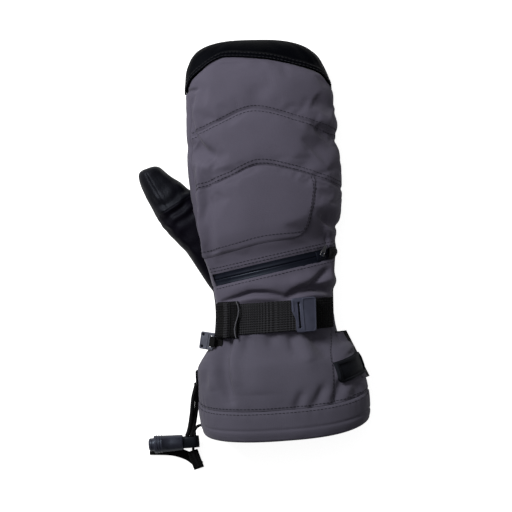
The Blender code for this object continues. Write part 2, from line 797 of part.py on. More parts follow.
def bag_layer(name, start, depths, look):
    """A whole layer of the hand, a bag that is open at the wrist."""

    def place(u, v, w):
        depth = mix(depths[0], depths[1], w)
        return skin_point(2.0 * math.pi * u, tip_rows(start, tip_place(depth), v), depth)

    mesh = slab_mesh(name, 2 * INNER_COLUMNS, HAND_ROWS, place, closed=True, tip=True)
    return add_part(name, mesh, look)


def add_pocket_bag():
    """The pocket's inner wall: sewn under the lower zip tape, clear of the slider, up to the padding."""
    hem_rows, rows = 1, 6
    hem = hem_rows / rows

    def place(u, v, w):
        share = mix(POCKET_SHARES[0], POCKET_SHARES[1], u)
        sewn = zip_line(share, SEAM_GAP - TAPE_WIDTH)
        clear = zip_line(share, -SLIDER_WIDTH / 2.0 - LAYER_GAP)
        if v <= hem:
            y, depth = mix(sewn, clear, v / hem), mix(TEETH_DEPTH, POCKET_DEPTH, v / hem)
        else:
            rise = (v - hem) / (1.0 - hem)
            y, depth = mix(clear, POCKET_TOP, rise), mix(INSULATION_TOP, POCKET_DEPTH, fade(rise, *POCKET_SLOPE))
        return skin_point(angle_for(share), y, depth + w * POCKET_THICKNESS)

    add_part("pocket_bag", slab_mesh("pocket_bag", 10, rows, place), "membrane")


# Pocket zip


def zip_strip(name, sides, depth, thickness, look):
    """A strip along the zip's arc."""
    reach = math.asin(ZIP_HALF_LENGTH / ZIP_RADIUS)

    def place(u, v, w):
        return zip_point(mix(-reach, reach, u), mix(sides[0], sides[1], v), depth + w * thickness)

    add_part(name, slab_mesh(name, 16, 1, place), look)


def zip_frame(turn):
    """The frame at an angle along the zip: X along it, Y across it and Z out of the back."""
    out = math.sin(turn) * ZIP_ALONG + math.cos(turn) * UP
    along = math.cos(turn) * ZIP_ALONG - math.sin(turn) * UP
    rotation = Matrix((along, ZIP_OVER, out)).transposed().to_4x4()
    return Matrix.Translation(zip_point(turn, 0.0, 0.0)) @ rotation


def add_zip():
    for name, side in (("upper", 1.0), ("lower", -1.0)):
        inner = side * ZIP_SLIT / 2.0
        zip_strip("zip_tape_" + name, (inner, side * TAPE_WIDTH), TAPE_DEPTH, TAPE_THICKNESS, "laminate")
        zip_strip("zip_teeth_" + name, (inner, side * TEETH_WIDTH), TEETH_DEPTH, TEETH_THICKNESS, "laminate")
    add_zip_end_tab()
    add_zip_slider()


def add_zip_end_tab():
    """The folded tab that closes the zip's window at the little finger's side."""
    start = angle_for((ZIP_CENTRE[0] + ZIP_HALF_LENGTH - middle(ZIP_CENTRE[1])) / half_width(ZIP_CENTRE[1]))

    def place(u, v, w):
        angle = mix(0.0, start - SEAM_TURN, u)
        share = share_across(angle)
        y = mix(zip_bottom(share) + SEAM_GAP / 2.0, zip_top(share) - SEAM_GAP, v)
        return skin_point(angle, y, w * SKIN) + HALF_GAP

    add_part("zip_end_tab", slab_mesh("zip_end_tab", 4, 2, place), "webbing")


def add_zip_slider():
    turn = math.asin(SLIDER_REST / ZIP_RADIUS)
    centre = Matrix.Translation((*ZIP_CENTRE, ZIP_CREST - ZIP_RADIUS))
    axis = add_empty("zip_axis", centre)
    frame = centre.inverted() @ zip_frame(turn)
    half_length, half = SLIDER_LENGTH / 2.0, SLIDER_WIDTH / 2.0
    above = -TAPE_DEPTH + ZIP_CLEARANCE
    below = -UNDERPLATE_DEPTH
    plate = box_mesh("zip_slider", (-half_length, -half, above), (half_length, half, above + SLIDER_PLATE))
    slider = add_part("zip_slider", plate, "metal", axis)
    slider.matrix_local = frame
    deep = below - TAPE_THICKNESS
    neck = SLIDER_NECK / 2.0
    top = above + SLIDER_PLATE
    inside = SLIDER_PLATE / 2.0
    pieces = {
        "slider_neck": box_mesh("slider_neck", (0.0, -neck, deep + inside / 2.0),
                                (half_length / 2.0, neck, top - inside)),
        "slider_underplate": box_mesh("slider_underplate", (-half_length, -half, deep),
                                      (half_length, half, below)),
        "slider_bridge": bridge_mesh(top, inside),
    }
    for name, mesh in pieces.items():
        cutter = add_cutter(name, mesh)
        cutter.parent = axis
        cutter.matrix_local = frame
        boolean(slider, cutter, "UNION")
    add_zip_pull(axis, frame, top)


def bridge_mesh(top, sunk):
    """The slider's arch, turned to face the way the pull lies, with its feet sunk in the plate."""
    out = BRIDGE_LENGTH / 2.0
    inner = out - BRIDGE_FOOT
    outline = [(-out, -sunk), (-inner, -sunk), (-inner, BRIDGE_HEIGHT - BRIDGE_BAR),
               (inner, BRIDGE_HEIGHT - BRIDGE_BAR), (inner, -sunk), (out, -sunk),
               (out, BRIDGE_HEIGHT), (-out, BRIDGE_HEIGHT)]
    mesh = outline_mesh("slider_bridge", (outline,), -BRIDGE_WIDTH / 2.0, BRIDGE_WIDTH / 2.0)
    upright = Matrix.Rotation(math.pi / 2.0, 4, "X")
    mesh.transform(Matrix.Translation((0.0, 0.0, top)) @ Matrix.Rotation(PULL_TURN, 4, "Z") @ upright)
    return mesh


def add_zip_pull(axis, frame, top):
    """The pull: a cross bar through the slider's arch, a ring round one of its feet, and a slim stem."""
    height = (BRIDGE_HEIGHT - BRIDGE_BAR) / 2.0
    pivot = add_empty("zip_pull_axis", frame @ Matrix.Translation((0.0, 0.0, top + height))
                      @ Matrix.Rotation(PULL_TURN, 4, "Z"), axis)
    bar = PULL_BAR / 2.0
    window = BRIDGE_WIDTH / 2.0 + ZIP_CLEARANCE
    reach = math.hypot(BRIDGE_LENGTH / 2.0, BRIDGE_HEIGHT - height) + ZIP_CLEARANCE
    ring = window + PULL_RIM
    stem = PULL_WIDTH / 2.0
    outline = rounded([(-bar, -ring), (reach, -ring), (PULL_LENGTH, -stem), (PULL_LENGTH, stem),
                       (reach, ring), (-bar, ring)], PULL_CORNER)
    hole = rounded(rectangle((bar, -window), (reach, window)), ZIP_CLEARANCE)
    half = PULL_THICKNESS / 2.0
    add_part("zip_pull", outline_mesh("zip_pull", (outline, hole), -half, half), "metal", pivot)


# Thumb

THUMB_OUT = Vector((*THUMB_AXIS, 0.0)).normalized()
THUMB_SIDE = Vector((THUMB_OUT.y, -THUMB_OUT.x, 0.0))
thumb_left = smooth_curve([(s.distance, s.left) for s in THUMB_SECTIONS])
thumb_right = smooth_curve([(s.distance, s.right) for s in THUMB_SECTIONS])
thumb_height = smooth_curve([(s.distance, s.height) for s in THUMB_SECTIONS])


def thumb_axis_point(distance):
    return Vector((*THUMB_TIP, 0.0)) + THUMB_OUT * distance


def thumb_point(angle, distance, depth):
    """The point at an angle round the thumb, a distance from its tip and a depth below its skin."""
    share = min(max(1.0 - (distance - depth) / THUMB_TIP_ROUNDING, 0.0), 1.0)
    closing = (1.0 - share ** THUMB_POWER) ** (1.0 / THUMB_POWER)
    height = thumb_height(distance)
    waist = height * THUMB_SEAM_SHARE
    outward = math.cos(angle)
    half = thumb_left(distance) if outward >= 0.0 else thumb_right(distance)
    rise = height - waist if math.sin(angle) >= 0.0 else waist + PALM_PRESS
    power = 2.0 / THUMB_POWER
    side = (half - depth) * closing * signed_power(outward, power)
    up = (rise - depth) * closing * signed_power(math.sin(angle), power)
    return thumb_axis_point(distance) + THUMB_SIDE * side + UP * max(waist + up, depth)


def joint_region(name, radius, sweep, forward):
    """A block on one side of the thumb's joint, with a round face about the joint's axis."""
    reach = THUMB_REACH
    steps = 12
    edge = math.pi / 2.0 - sweep
    arc = [edge - 2.0 * edge * step / steps for step in range(steps + 1)]
    outline = [(radius * math.sin(a), radius * math.cos(a)) for a in arc]
    far = reach if forward else -reach
    side = reach * math.sin(edge)
    out = reach * math.cos(edge)
    outline += [(-side, out), (-side, far), (side, far), (side, out)]
    mesh = outline_mesh(name, (outline,), -reach / 2.0, reach / 2.0)
    frame = Matrix((-THUMB_SIDE, -THUMB_OUT, UP)).transposed().to_4x4()
    cutter = add_cutter(name, mesh)
    cutter.matrix_world = Matrix.Translation(thumb_axis_point(THUMB_JOINT)) @ frame
    return cutter


def thumb_layer(name, distances, depths, columns, rows, look, closed_tip):
    def place(u, v, w):
        depth = mix(depths[0], depths[1], w)
        end = depth if closed_tip else distances[1]
        distance = mix(distances[0], end, math.sin(v * math.pi / 2.0) if closed_tip else v)
        return thumb_point(2.0 * math.pi * u, distance, depth)

    mesh = slab_mesh(name, columns, rows, place, closed=True, tip=closed_tip)
    return add_part(name, mesh, look)


def add_thumb(hand_layers, hand):
    """The thumb: a tip that bends on a base, both open inside, and the way through into the hand."""
    leather = (0.0, THUMB_LEATHER)
    lining = (THUMB_LEATHER + THUMB_GAP, THUMB_LEATHER + THUMB_GAP + THUMB_LINING)
    base_side = joint_region("thumb_base_side", THUMB_KNUCKLE + THUMB_GAP, THUMB_SWEEP, False)
    tip_side = joint_region("thumb_tip_side", THUMB_KNUCKLE, 0.0, True)
    start = THUMB_JOINT + THUMB_KNUCKLE
    end = THUMB_JOINT - THUMB_KNUCKLE - THUMB_GAP
    frame = Matrix.Translation(thumb_axis_point(THUMB_JOINT))
    pivot = add_empty("thumb_axis", frame)
    for name, depths, look in (("shell", leather, "leather"), ("lining", lining, "fleece")):
        tip = thumb_layer("thumb_tip_" + name, (start, 0.0), depths, 20, 8, look, True)
        tip.data.transform(frame.inverted())
        tip.parent = pivot
        boolean(tip, base_side)
        base = thumb_layer("thumb_base_" + name, (end, THUMB_REACH), depths, 20, 10, look, False)
        boolean(base, tip_side)
        boolean(base, hand)

    def bore(u, v):
        return thumb_point(2.0 * math.pi * u, mix(THUMB_JOINT, THUMB_REACH, v), lining[1] + THUMB_GAP)

    hole = add_cutter("thumb_bore", plug_mesh("thumb_bore", 20, 8, bore))
    for layer in hand_layers:
        boolean(layer, hole)


def hand_outside(u, v):
    return skin_point(2.0 * math.pi * u, mix(FLARE.place, FINGER.place, v), -SEAM_GAP)


# Wrist strap


def strap_patch(name, angles, sides, heights, columns, rows, look):
    """A band of webbing over the wrist; heights(u, v) gives its underside above the skin."""

    def place(u, v, w):
        y = STRAP_CENTRE + mix(sides[0], sides[1], v)
        height = heights(u, v) + (1.0 - w) * STRAP_THICKNESS
        return skin_point(mix(angles[0], angles[1], u), y, -height)

    add_part(name, slab_mesh(name, columns, rows, place), look)


def skin_frame(angle, place):
    """The frame on the skin: X to the right across the back, Y towards the fingers and Z out."""
    before = skin_point(angle + TANGENT_STEP, place, 0.0)
    across = (skin_point(angle - TANGENT_STEP, place, 0.0) - before).normalized()
    along = Vector((0.0, 1.0, 0.0))
    out = across.cross(along).normalized()
    along = out.cross(across)
    rotation = Matrix((across, along, out)).transposed().to_4x4()
    return Matrix.Translation(skin_point(angle, place, 0.0)) @ rotation


LOOP_INNER = BUCKLE_BAR + WEBBING_CLEARANCE
LOOP_OUTER = LOOP_INNER + STRAP_THICKNESS
LOOP_HEIGHT = STRAP_SEAT + LOOP_OUTER
PLATE_LOW = LOOP_HEIGHT + LOOP_OUTER + WEBBING_CLEARANCE
SLOT_FIELD = BUCKLE_SLOT + BUCKLE_SLOT_BAR


def webbing_loop(name, place_x, side, upper_leg, parent, frame):
    """Webbing that turns round one of the buckle's bars, with both legs to one side (-1 or 1)."""
    half = STRAP_WIDTH / 2.0
    turn_rows, rows = 8, 10

    def place(u, v, w):
        radius = LOOP_OUTER - w * STRAP_THICKNESS
        row = v * rows
        angle = math.pi * min(max(row - 1.0, 0.0), turn_rows) / turn_rows
        run = upper_leg * max(1.0 - row, 0.0) + LOOP_LEG * max(row - turn_rows - 1.0, 0.0)
        x = place_x + side * (run - radius * math.sin(angle))
        return Vector((x, mix(-half, half, u), LOOP_HEIGHT + radius * math.cos(angle)))

    loop = add_part(name, slab_mesh(name, 2, rows, place), "webbing", parent)
    loop.matrix_local = frame
    return loop


def buckle_outline():
    """The buckle's rim: a lip that steps in along its lower half, and a slanted right-hand end."""
    left, right = -BUCKLE_LENGTH / 2.0, BUCKLE_LENGTH / 2.0
    half = BUCKLE_WIDTH / 2.0
    step = BUCKLE_LIP_STEP
    return rounded(
        [(left + step, -half), (right - BUCKLE_SLANT, -half), (right, half), (left, half),
         (left, step), (left + step, -step)], BUCKLE_CORNER)


def add_buckle(frame):
    pivot_frame = frame @ Matrix.Translation((ANCHOR_BAR_PLACE, 0.0, LOOP_HEIGHT))
    pivot = add_empty("buckle_axis", pivot_frame)
    local = Matrix.Translation((-ANCHOR_BAR_PLACE, 0.0, -LOOP_HEIGHT))
    slot_half = BUCKLE_SLOT_LENGTH / 2.0
    slots = []
    for index in range(2):
        start = BUCKLE_SLOT_PLACE + index * SLOT_FIELD
        window = rectangle((start, -slot_half), (start + BUCKLE_SLOT, slot_half))
        slots.append(rounded(window, BUCKLE_SLOT_CORNER, 2))
    mesh = outline_mesh("ladder_buckle", [buckle_outline()] + slots, PLATE_LOW, PLATE_LOW + BUCKLE_PLATE)
    buckle = add_part("ladder_buckle", mesh, "buckle", pivot)
    buckle.matrix_local = local
    inner = STRAP_WIDTH / 2.0 + WEBBING_CLEARANCE
    outer = inner + BUCKLE_RAIL
    inside = BUCKLE_PLATE / 2.0
    low = LOOP_HEIGHT - BUCKLE_BAR
    for side in (-1.0, 1.0):
        name = "buckle_rail_" + ("upper" if side > 0.0 else "lower")
        ends = sorted((side * inner, side * outer))
        rail = box_mesh(name, (LOCK_BAR_PLACE - BUCKLE_BAR, ends[0], low),
                        (ANCHOR_BAR_PLACE - BUCKLE_BAR / 2.0, ends[1], PLATE_LOW + inside))
        fuse_local(buckle, name, rail, pivot, local)
        lug = rod_mesh(name + "_lug", (ANCHOR_BAR_PLACE, ends[0] + BUCKLE_INSET, LOOP_HEIGHT),
                       (ANCHOR_BAR_PLACE, ends[1] - BUCKLE_INSET, LOOP_HEIGHT), LOOP_OUTER - WEBBING_CLEARANCE)
        fuse_local(buckle, name + "_lug", lug, pivot, local)
    for name, x in (("lock_bar", LOCK_BAR_PLACE), ("anchor_bar", ANCHOR_BAR_PLACE)):
        reach = inner + BUCKLE_RAIL / 2.0
        bar = rod_mesh(name, (x, -reach, LOOP_HEIGHT), (x, reach, LOOP_HEIGHT), BUCKLE_BAR, 12)
        fuse_local(buckle, name, bar, pivot, local)
    webbing_loop("strap_loop", LOCK_BAR_PLACE, -1.0, LOOP_LEG, pivot, local)


def fuse_local(target, name, mesh, parent, local):
    piece = add_cutter(name, mesh)
    piece.parent = parent
    piece.matrix_local = local
    boolean(target, piece, "UNION", "MANIFOLD")


def add_strap():
    """The webbing from its sewn left end to the buckle, the tail below it and the right-hand anchor."""
    half = STRAP_WIDTH / 2.0
    cover_half = STRAP_COVER_WIDTH / 2.0
    buckle_angle = angle_at(BUCKLE_CENTRE, STRAP_CENTRE)
    frame = skin_frame(buckle_angle, STRAP_CENTRE)
    second = STRAP_SEAT + STRAP_THICKNESS + LAYER_GAP
    top_leg = LOOP_HEIGHT + LOOP_INNER

    def beside(x, height):
        """The angle at which a band of webbing at a height ends beside a loop."""
        return angle_at((frame @ Vector((x, 0.0, height))).x, STRAP_CENTRE, height)

    left = angle_at(STRAP_LEFT, STRAP_CENTRE)
    loop_end = LOCK_BAR_PLACE - LOOP_LEG - LOOP_END_GAP
    end = beside(loop_end, top_leg)
    rise_start = angle_at(TAIL_LEFT - STRAP_RISE, STRAP_CENTRE)
    tail_start = angle_at(TAIL_LEFT, STRAP_CENTRE)
    climb = smooth_curve(((-left, STRAP_SEAT), (-rise_start, STRAP_SEAT),
                          (-tail_start, second), (-end, top_leg)))

    def flat(u, v):
        return STRAP_SEAT

    def strap_height(u, v):
        return climb(-mix(left, end, u))

    def cover_height(u, v):
        foot = half / cover_half
        return mix(STRAP_SEAT, second, fade(abs(2.0 * v - 1.0), foot, 1.0))

    cover_end = angle_at(STRAP_COVER_RIGHT, STRAP_CENTRE)
    strap_patch("wrist_strap", (left, end), (-half, half), strap_height, 18, 2, "webbing")
    tail = (tail_start, beside(loop_end, STRAP_SEAT))
    strap_patch("strap_tail", tail, (-half, half), flat, 6, 2, "webbing")
    strap_patch("strap_cover", (left, cover_end), (-cover_half, cover_half), cover_height, 6, 12, "webbing")
    reach = ANCHOR_BAR_PLACE + LOOP_LEG + LOOP_END_GAP
    right = (angle_for(STRAP_RIGHT_SHARE), beside(reach, STRAP_SEAT))
    strap_patch("right_strap", right, (-half, half), flat, 6, 2, "webbing")
    webbing_loop("buckle_loop", ANCHOR_BAR_PLACE, 1.0, LOOP_TURN_IN, None, frame)
    add_buckle(frame)


# Pair clip


def add_pair_clip(hand):
    """A plastic tab that clips the two mittens together, on a short tape at the left of the wrist."""
    seat = skin_point(CLIP_ANGLE, CLIP_PLACE, -CLIP_STANDOFF)
    frame = (Matrix.Translation(seat) @ Matrix.Rotation(math.pi + CLIP_TURN, 4, "Z")
             @ Matrix.Rotation(CLIP_DROOP, 4, "Y"))
    pivot = add_empty("clip_axis", frame)
    half = CLIP_WIDTH / 2.0
    bar = CLIP_BAR / 2.0
    rim = rounded(rectangle((-bar, -half), (CLIP_LENGTH - bar, half)), bar)
    slot_half = CLIP_SLOT_LENGTH / 2.0
    holes = [rounded(rectangle((bar, -slot_half), (bar + CLIP_SLOT, slot_half)), bar / 2.0, 2)]
    for side in (-1.0, 1.0):
        x = CLIP_LENGTH - bar - CLIP_HOLE_INSET
        y = side * (half - CLIP_HOLE_INSET)
        holes.append([(x + CLIP_HOLE * math.cos(a * math.pi / 4.0), y + CLIP_HOLE * math.sin(a * math.pi / 4.0))
                      for a in range(8)])
    thick = CLIP_THICKNESS / 2.0
    add_part("pair_clip", outline_mesh("pair_clip", [rim] + holes, -thick, thick), "clip", pivot)
    turn_rows, rows = 6, 9

    def place(u, v, w):
        radius = CLIP_LOOP - w * CLIP_TAPE_THICKNESS
        row = v * rows
        angle = math.pi * min(max(row - 1.0, 0.0), turn_rows) / turn_rows
        run = max(1.0 - row, 0.0) * CLIP_LOOP + max(row - turn_rows - 1.0, 0.0) * CLIP_TAPE_LENGTH / 2.0
        half_tape = CLIP_TAPE_WIDTH / 2.0
        return Vector((radius * math.sin(angle) - run, mix(-half_tape, half_tape, u), radius * math.cos(angle)))

    tape = add_part("clip_tape", slab_mesh("clip_tape", 2, rows, place), "webbing")
    tape.matrix_world = frame
    boolean(tape, hand)


# Cuff


def hem_line(angle):
    return HEM.place - HEM_DIP * max(math.sin(angle), 0.0)


def hem_seam(angle):
    return hem_line(angle) + HEM_WIDTH


def cuff_panel(name, angles, columns):
    def place(u, v, w):
        angle = mix(angles[0], angles[1], u)
        y = mix(hem_seam(angle) + SEAM_GAP / 2.0, WRIST_SEAM - SEAM_GAP, v)
        return skin_point(angle, y, w * SKIN)

    add_part(name, slab_mesh(name, columns, CUFF_ROWS, place), "softshell")


def add_hem():
    """The hem: cloth folded into a channel, with the drawcord lying in it."""
    leg_rows, fold_rows = 2, 4
    rows = 2 * leg_rows + fold_rows

    def place(u, v, w):
        angle = 2.0 * math.pi * u
        row = v * rows
        turn = math.pi * min(max(row - leg_rows, 0.0), fold_rows) / fold_rows
        radius = HEM_FOLD - w * HEM_CLOTH
        bottom = hem_line(angle) + HEM_FOLD
        outer = max(1.0 - row / leg_rows, 0.0) * (hem_seam(angle) - SEAM_GAP / 2.0 - bottom)
        inner = max((row - leg_rows - fold_rows) / leg_rows, 0.0) * (HEM_FACING - HEM_FOLD)
        y = bottom + outer + inner - radius * math.sin(turn)
        return skin_point(angle, y, HEM_FOLD - radius * math.cos(turn))

    add_part("hem_band", slab_mesh("hem_band", 2 * HAND_COLUMNS, rows, place, closed=True), "softshell")
    first, last = EXIT_ANGLES[1], EXIT_ANGLES[0] + 2.0 * math.pi
    count = 40
    ring = []
    for index in range(count + 1):
        angle = mix(first, last, index / count)
        ring.append(skin_point(angle, hem_line(angle) + HEM_FOLD, HEM_FOLD))
    add_cord("hem_drawcord", ring, DRAWCORD, "cord")


def add_cuff():
    gap = SEAM_TURN / 2.0
    panels = (
        ("gauntlet_back_panel", CUFF_SIDE_COLUMN, HAND_COLUMNS),
        ("gauntlet_side_panel", CUFF_UNDER_COLUMN, CUFF_SIDE_COLUMN),
        ("gauntlet_palm_panel", HAND_COLUMNS, 2 * HAND_COLUMNS + CUFF_UNDER_COLUMN),
    )
    for name, first, last in panels:
        cuff_panel(name, (first * COLUMN + gap, last * COLUMN - gap), last - first)
    add_hem()

    def lining(u, v, w):
        angle = 2.0 * math.pi * u
        y = mix(hem_seam(angle) + SEAM_GAP, PADDING_END - SEAM_GAP, v)
        narrow = fade(PADDING_END - y, 0.0, PADDING_END - CUFF_LINING_FLARE)
        return skin_point(angle, y, mix(INSULATION_TOP, LINING_TOP, narrow) + w * LINING)

    mesh = slab_mesh("gauntlet_lining", 2 * HAND_COLUMNS, CUFF_ROWS, lining, closed=True)
    add_part("gauntlet_lining", mesh, "fleece")

    def elastic(u, v, w):
        depth = INSULATION_TOP + w * ELASTIC_THICKNESS
        return skin_point(2.0 * math.pi * u, mix(ELASTIC_PLACES[0], ELASTIC_PLACES[1], v), depth)

    add_part("wrist_elastic", slab_mesh("wrist_elastic", 2 * INNER_COLUMNS, 1, elastic, closed=True), "webbing")

    def label(u, v, w):
        angle = mix(LABEL_ANGLES[0], LABEL_ANGLES[1], u)
        y = LABEL_PLACE - u * LABEL_SLOPE + (v - 0.5) * LABEL_HEIGHT
        return skin_point(angle, y, -SEAM_GAP - (1.0 - w) * LABEL_THICKNESS)

    add_part("cuff_label", slab_mesh("cuff_label", 6, 4, label), "rubber")

    def edge_tape(u, v, w):
        angle = mix(EDGE_TAPE_ANGLES[0], EDGE_TAPE_ANGLES[1], u)
        y = mix(EDGE_TAPE_PLACES[0], EDGE_TAPE_PLACES[1], v)
        lift = SEAM_GAP + EDGE_TAPE_LIFT * v ** 4
        return skin_point(angle, y, -lift - (1.0 - w) * EDGE_TAPE_THICKNESS)

    add_part("cuff_edge_tape", slab_mesh("cuff_edge_tape", 4, 8, edge_tape), "webbing")


# Drawcord end

LOCK_HEIGHT = PULL_TAPE_THICKNESS + SEAM_GAP + LOCK_MOUTH
LOCK_CENTRE = Vector((*LOCK_PLACE, LOCK_HEIGHT))
LOCK_FRAME = Matrix.Translation(LOCK_CENTRE) @ Matrix.Rotation(-math.pi / 2.0, 4, "Y")
BARREL_START = LOCK_COLLAR_LENGTH / 2.0
BARREL_END = BARREL_START + LOCK_LENGTH
BORE_FLOOR = BARREL_END - LOCK_BORE_DEPTH
PLUNGER_TOP = BARREL_END + PLUNGER_PROUD
PLUNGER_SHOULDER = PLUNGER_TOP - PLUNGER_LENGTH


def ribbon(name, points, width, thickness, look, rows):
    """A flat tape along a route, lying level across."""
    path = route_curve(points)[1]

    def place(u, v, w):
        ahead = (path(min(v + TANGENT_STEP, 1.0)) - path(max(v - TANGENT_STEP, 0.0))).normalized()
        across = ahead.cross(UP).normalized()
        return path(v) + across * (u - 0.5) * width + UP * (0.5 - w) * thickness

    add_part(name, slab_mesh(name, 2, rows, place), look)


def add_cord_lock():
    """The cord lock: a barrel with a cross hole for the cords, and a sprung plunger in its bore."""
    barrel = add_turned("lock_barrel", [
        (0.0, BORE_FLOOR), (LOCK_BORE, BORE_FLOOR), (LOCK_BORE, BARREL_END), (LOCK_MOUTH, BARREL_END),
        (LOCK_NECK, BARREL_START), (LOCK_COLLAR, BARREL_START), (LOCK_COLLAR, -BARREL_START),
        (0.0, -BARREL_START),
    ], "lock", LOCK_FRAME)
    half_x, half_z = LOCK_HOLE[0] / 2.0, LOCK_HOLE[1] / 2.0
    window = rounded(rectangle((-half_x, -half_z), (half_x, half_z)), LOCK_HOLE_CORNER)
    hole = outline_mesh("cord_hole", (window,), -2.0 * LOCK_COLLAR, 2.0 * LOCK_COLLAR)
    cutter = add_cutter("cord_hole", hole)
    cutter.matrix_world = Matrix.Translation(LOCK_CENTRE) @ Matrix.Rotation(math.pi / 2.0, 4, "X")
    boolean(barrel, cutter)
    head = LOCK_BORE - PLUNGER_CLEARANCE
    pivot = add_empty("plunger_axis", LOCK_FRAME)
    stem_end = PLUNGER_SHOULDER - PLUNGER_STEM_LENGTH
    add_turned("lock_plunger", [
        (0.0, PLUNGER_TOP), (head - PLUNGER_BEVEL, PLUNGER_TOP), (head, PLUNGER_TOP - PLUNGER_BEVEL),
        (head, PLUNGER_SHOULDER), (PLUNGER_STEM, PLUNGER_SHOULDER), (PLUNGER_STEM, stem_end), (0.0, stem_end),
    ], "lock", Matrix.Identity(4), pivot)
    margin = SPRING_WIRE / 2.0 + PLUNGER_CLEARANCE
    points_per_turn = 10
    count = SPRING_TURNS * points_per_turn
    wire = []
    for index in range(count + 1):
        angle = 2.0 * math.pi * index / points_per_turn
        height = mix(BORE_FLOOR + margin, PLUNGER_SHOULDER - margin, index / count)
        wire.append((SPRING_RADIUS * math.cos(angle), SPRING_RADIUS * math.sin(angle), height))
    spring = bpy.data.curves.new("lock_spring", "CURVE")
    spring.dimensions = "3D"
    spring.bevel_depth = SPRING_WIRE / 2.0
    spring.bevel_resolution = 1
    spring.use_fill_caps = True
    spline = spring.splines.new("POLY")
    spline.points.add(count)
    for point, corner in zip(spline.points, wire):
        point.co = (*corner, 1.0)
    part = add_part("lock_spring", curve_mesh("lock_spring", spring), "metal")
    part.matrix_world = LOCK_FRAME


def add_eyelet(name, angle):
    """A small ring on the hem round one strand of the drawcord, and the strand's way out of it."""
    place = hem_line(angle) + HEM_FOLD
    seat = skin_point(angle, place, -SEAM_GAP)
    out = (skin_point(angle, place, -EYELET) - skin_point(angle, place, EYELET)).normalized()
    hole = DRAWCORD / 2.0 + WEBBING_CLEARANCE
    frame = Matrix.Translation(seat) @ UP.rotation_difference(out).to_matrix().to_4x4()
    add_turned(name, [
        (hole, EYELET_HEIGHT), (hole, 0.0), (EYELET / 2.0, 0.0), (EYELET / 2.0, EYELET_HEIGHT - EYELET_BEVEL),
        (hole, EYELET_HEIGHT),
    ], "metal", frame)
    return seat, out


def add_cord_end():
    mouth = LOCK_PLACE[1] + math.sqrt(LOCK_COLLAR ** 2 - (LOCK_HOLE[1] / 2.0) ** 2)
    for letter, angle, level in zip("ab", EXIT_ANGLES, STRAND_LEVELS):
        seat, out = add_eyelet("cord_eyelet_" + letter, angle)
        goal = Vector((LOCK_PLACE[0] + STRAND_END, mouth, LOCK_HEIGHT + level))
        start = seat + out * SEAM_GAP
        lead = goal + Vector((0.0, STRAND_LEAD, 0.0))
        route = (start, start + out * STRAND_LEAD, lead, goal)
        add_cord("drawcord_strand_" + letter, route, DRAWCORD, "cord")
    add_tether(mouth)
    tab_low = PULL_TAPE_THICKNESS + SEAM_GAP + PULL_TAB_THICKNESS / 2.0
    tab = [(x, y, max(z, tab_low)) for x, y, z in TAB_ROUTE]
    ribbon("pull_tab", tab, PULL_TAB_WIDTH, PULL_TAB_THICKNESS, "cord", 6)
    tail = [(x, y, PULL_TAPE_THICKNESS / 2.0) for x, y in TAIL_ROUTE]
    ribbon("pull_tail", tail, PULL_TAPE_WIDTH, PULL_TAPE_THICKNESS, "cord", 10)


def add_tether(mouth):
    """The doubled cord that ties the lock to the side of the cuff, and the patch that it leaves."""
    half_angle = TETHER_PATCH[1] / 2.0 / top_line(TETHER_PLACE)

    def patch(u, v, w):
        angle = TETHER_ANGLE + mix(-half_angle, half_angle, u)
        y = TETHER_PLACE + v * TETHER_PATCH[0]
        return skin_point(angle, y, -SEAM_GAP - (1.0 - w) * TETHER_PATCH_THICKNESS)

    add_part("tether_patch", slab_mesh("tether_patch", 3, 3, patch), "leather")
    inner = TETHER_CORD / 2.0 + TETHER_STANDOFF
    outer = inner + TETHER_CORD + SEAM_GAP
    for letter, route, end, level in zip("ab", TETHER_ROUTES, TETHER_ENDS, (outer, inner)):
        start = skin_point(TETHER_ANGLE, TETHER_PLACE - TETHER_STANDOFF, -level)
        goal = Vector((LOCK_PLACE[0] + end, mouth, LOCK_HEIGHT))
        add_cord("tether_leg_" + letter, (start, *route, goal), TETHER_CORD, "cord")


def build():
    add_back_panels()
    palm = add_palm_panel()
    back_padding, palm_padding = add_insulation()
    membrane = bag_layer("membrane", PADDING_END, (MEMBRANE_TOP, MEMBRANE_BOTTOM), "membrane")
    lining = bag_layer("hand_lining", PADDING_END, (LINING_TOP, LINING_BOTTOM), "fleece")
    add_pocket_bag()
    add_zip()
    gusset = bpy.data.objects["inner_side_gusset"]
    hand = add_cutter("hand_outside", plug_mesh("hand_outside", 2 * HAND_COLUMNS, 24, hand_outside))
    add_thumb((palm, back_padding, palm_padding, membrane, lining, gusset), hand)
    add_strap()
    add_pair_clip(hand)
    add_cuff()
    add_cord_lock()
    add_cord_end()


build()
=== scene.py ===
# %% [markdown]
# A ski mitten, dressed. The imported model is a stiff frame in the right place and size. In this lesson each
# soft part gets its real surface: puffed cloth, grained leather, woven webbing, sewn seams and cords.

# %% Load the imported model
from collections import namedtuple
from math import acos, asin, copysign, cos, exp, hypot, inf, pi, radians, sin, sqrt, tan, tanh, tau

import bmesh
import bpy
from mathutils import Matrix, Vector, noise
from mathutils.bvhtree import BVHTree


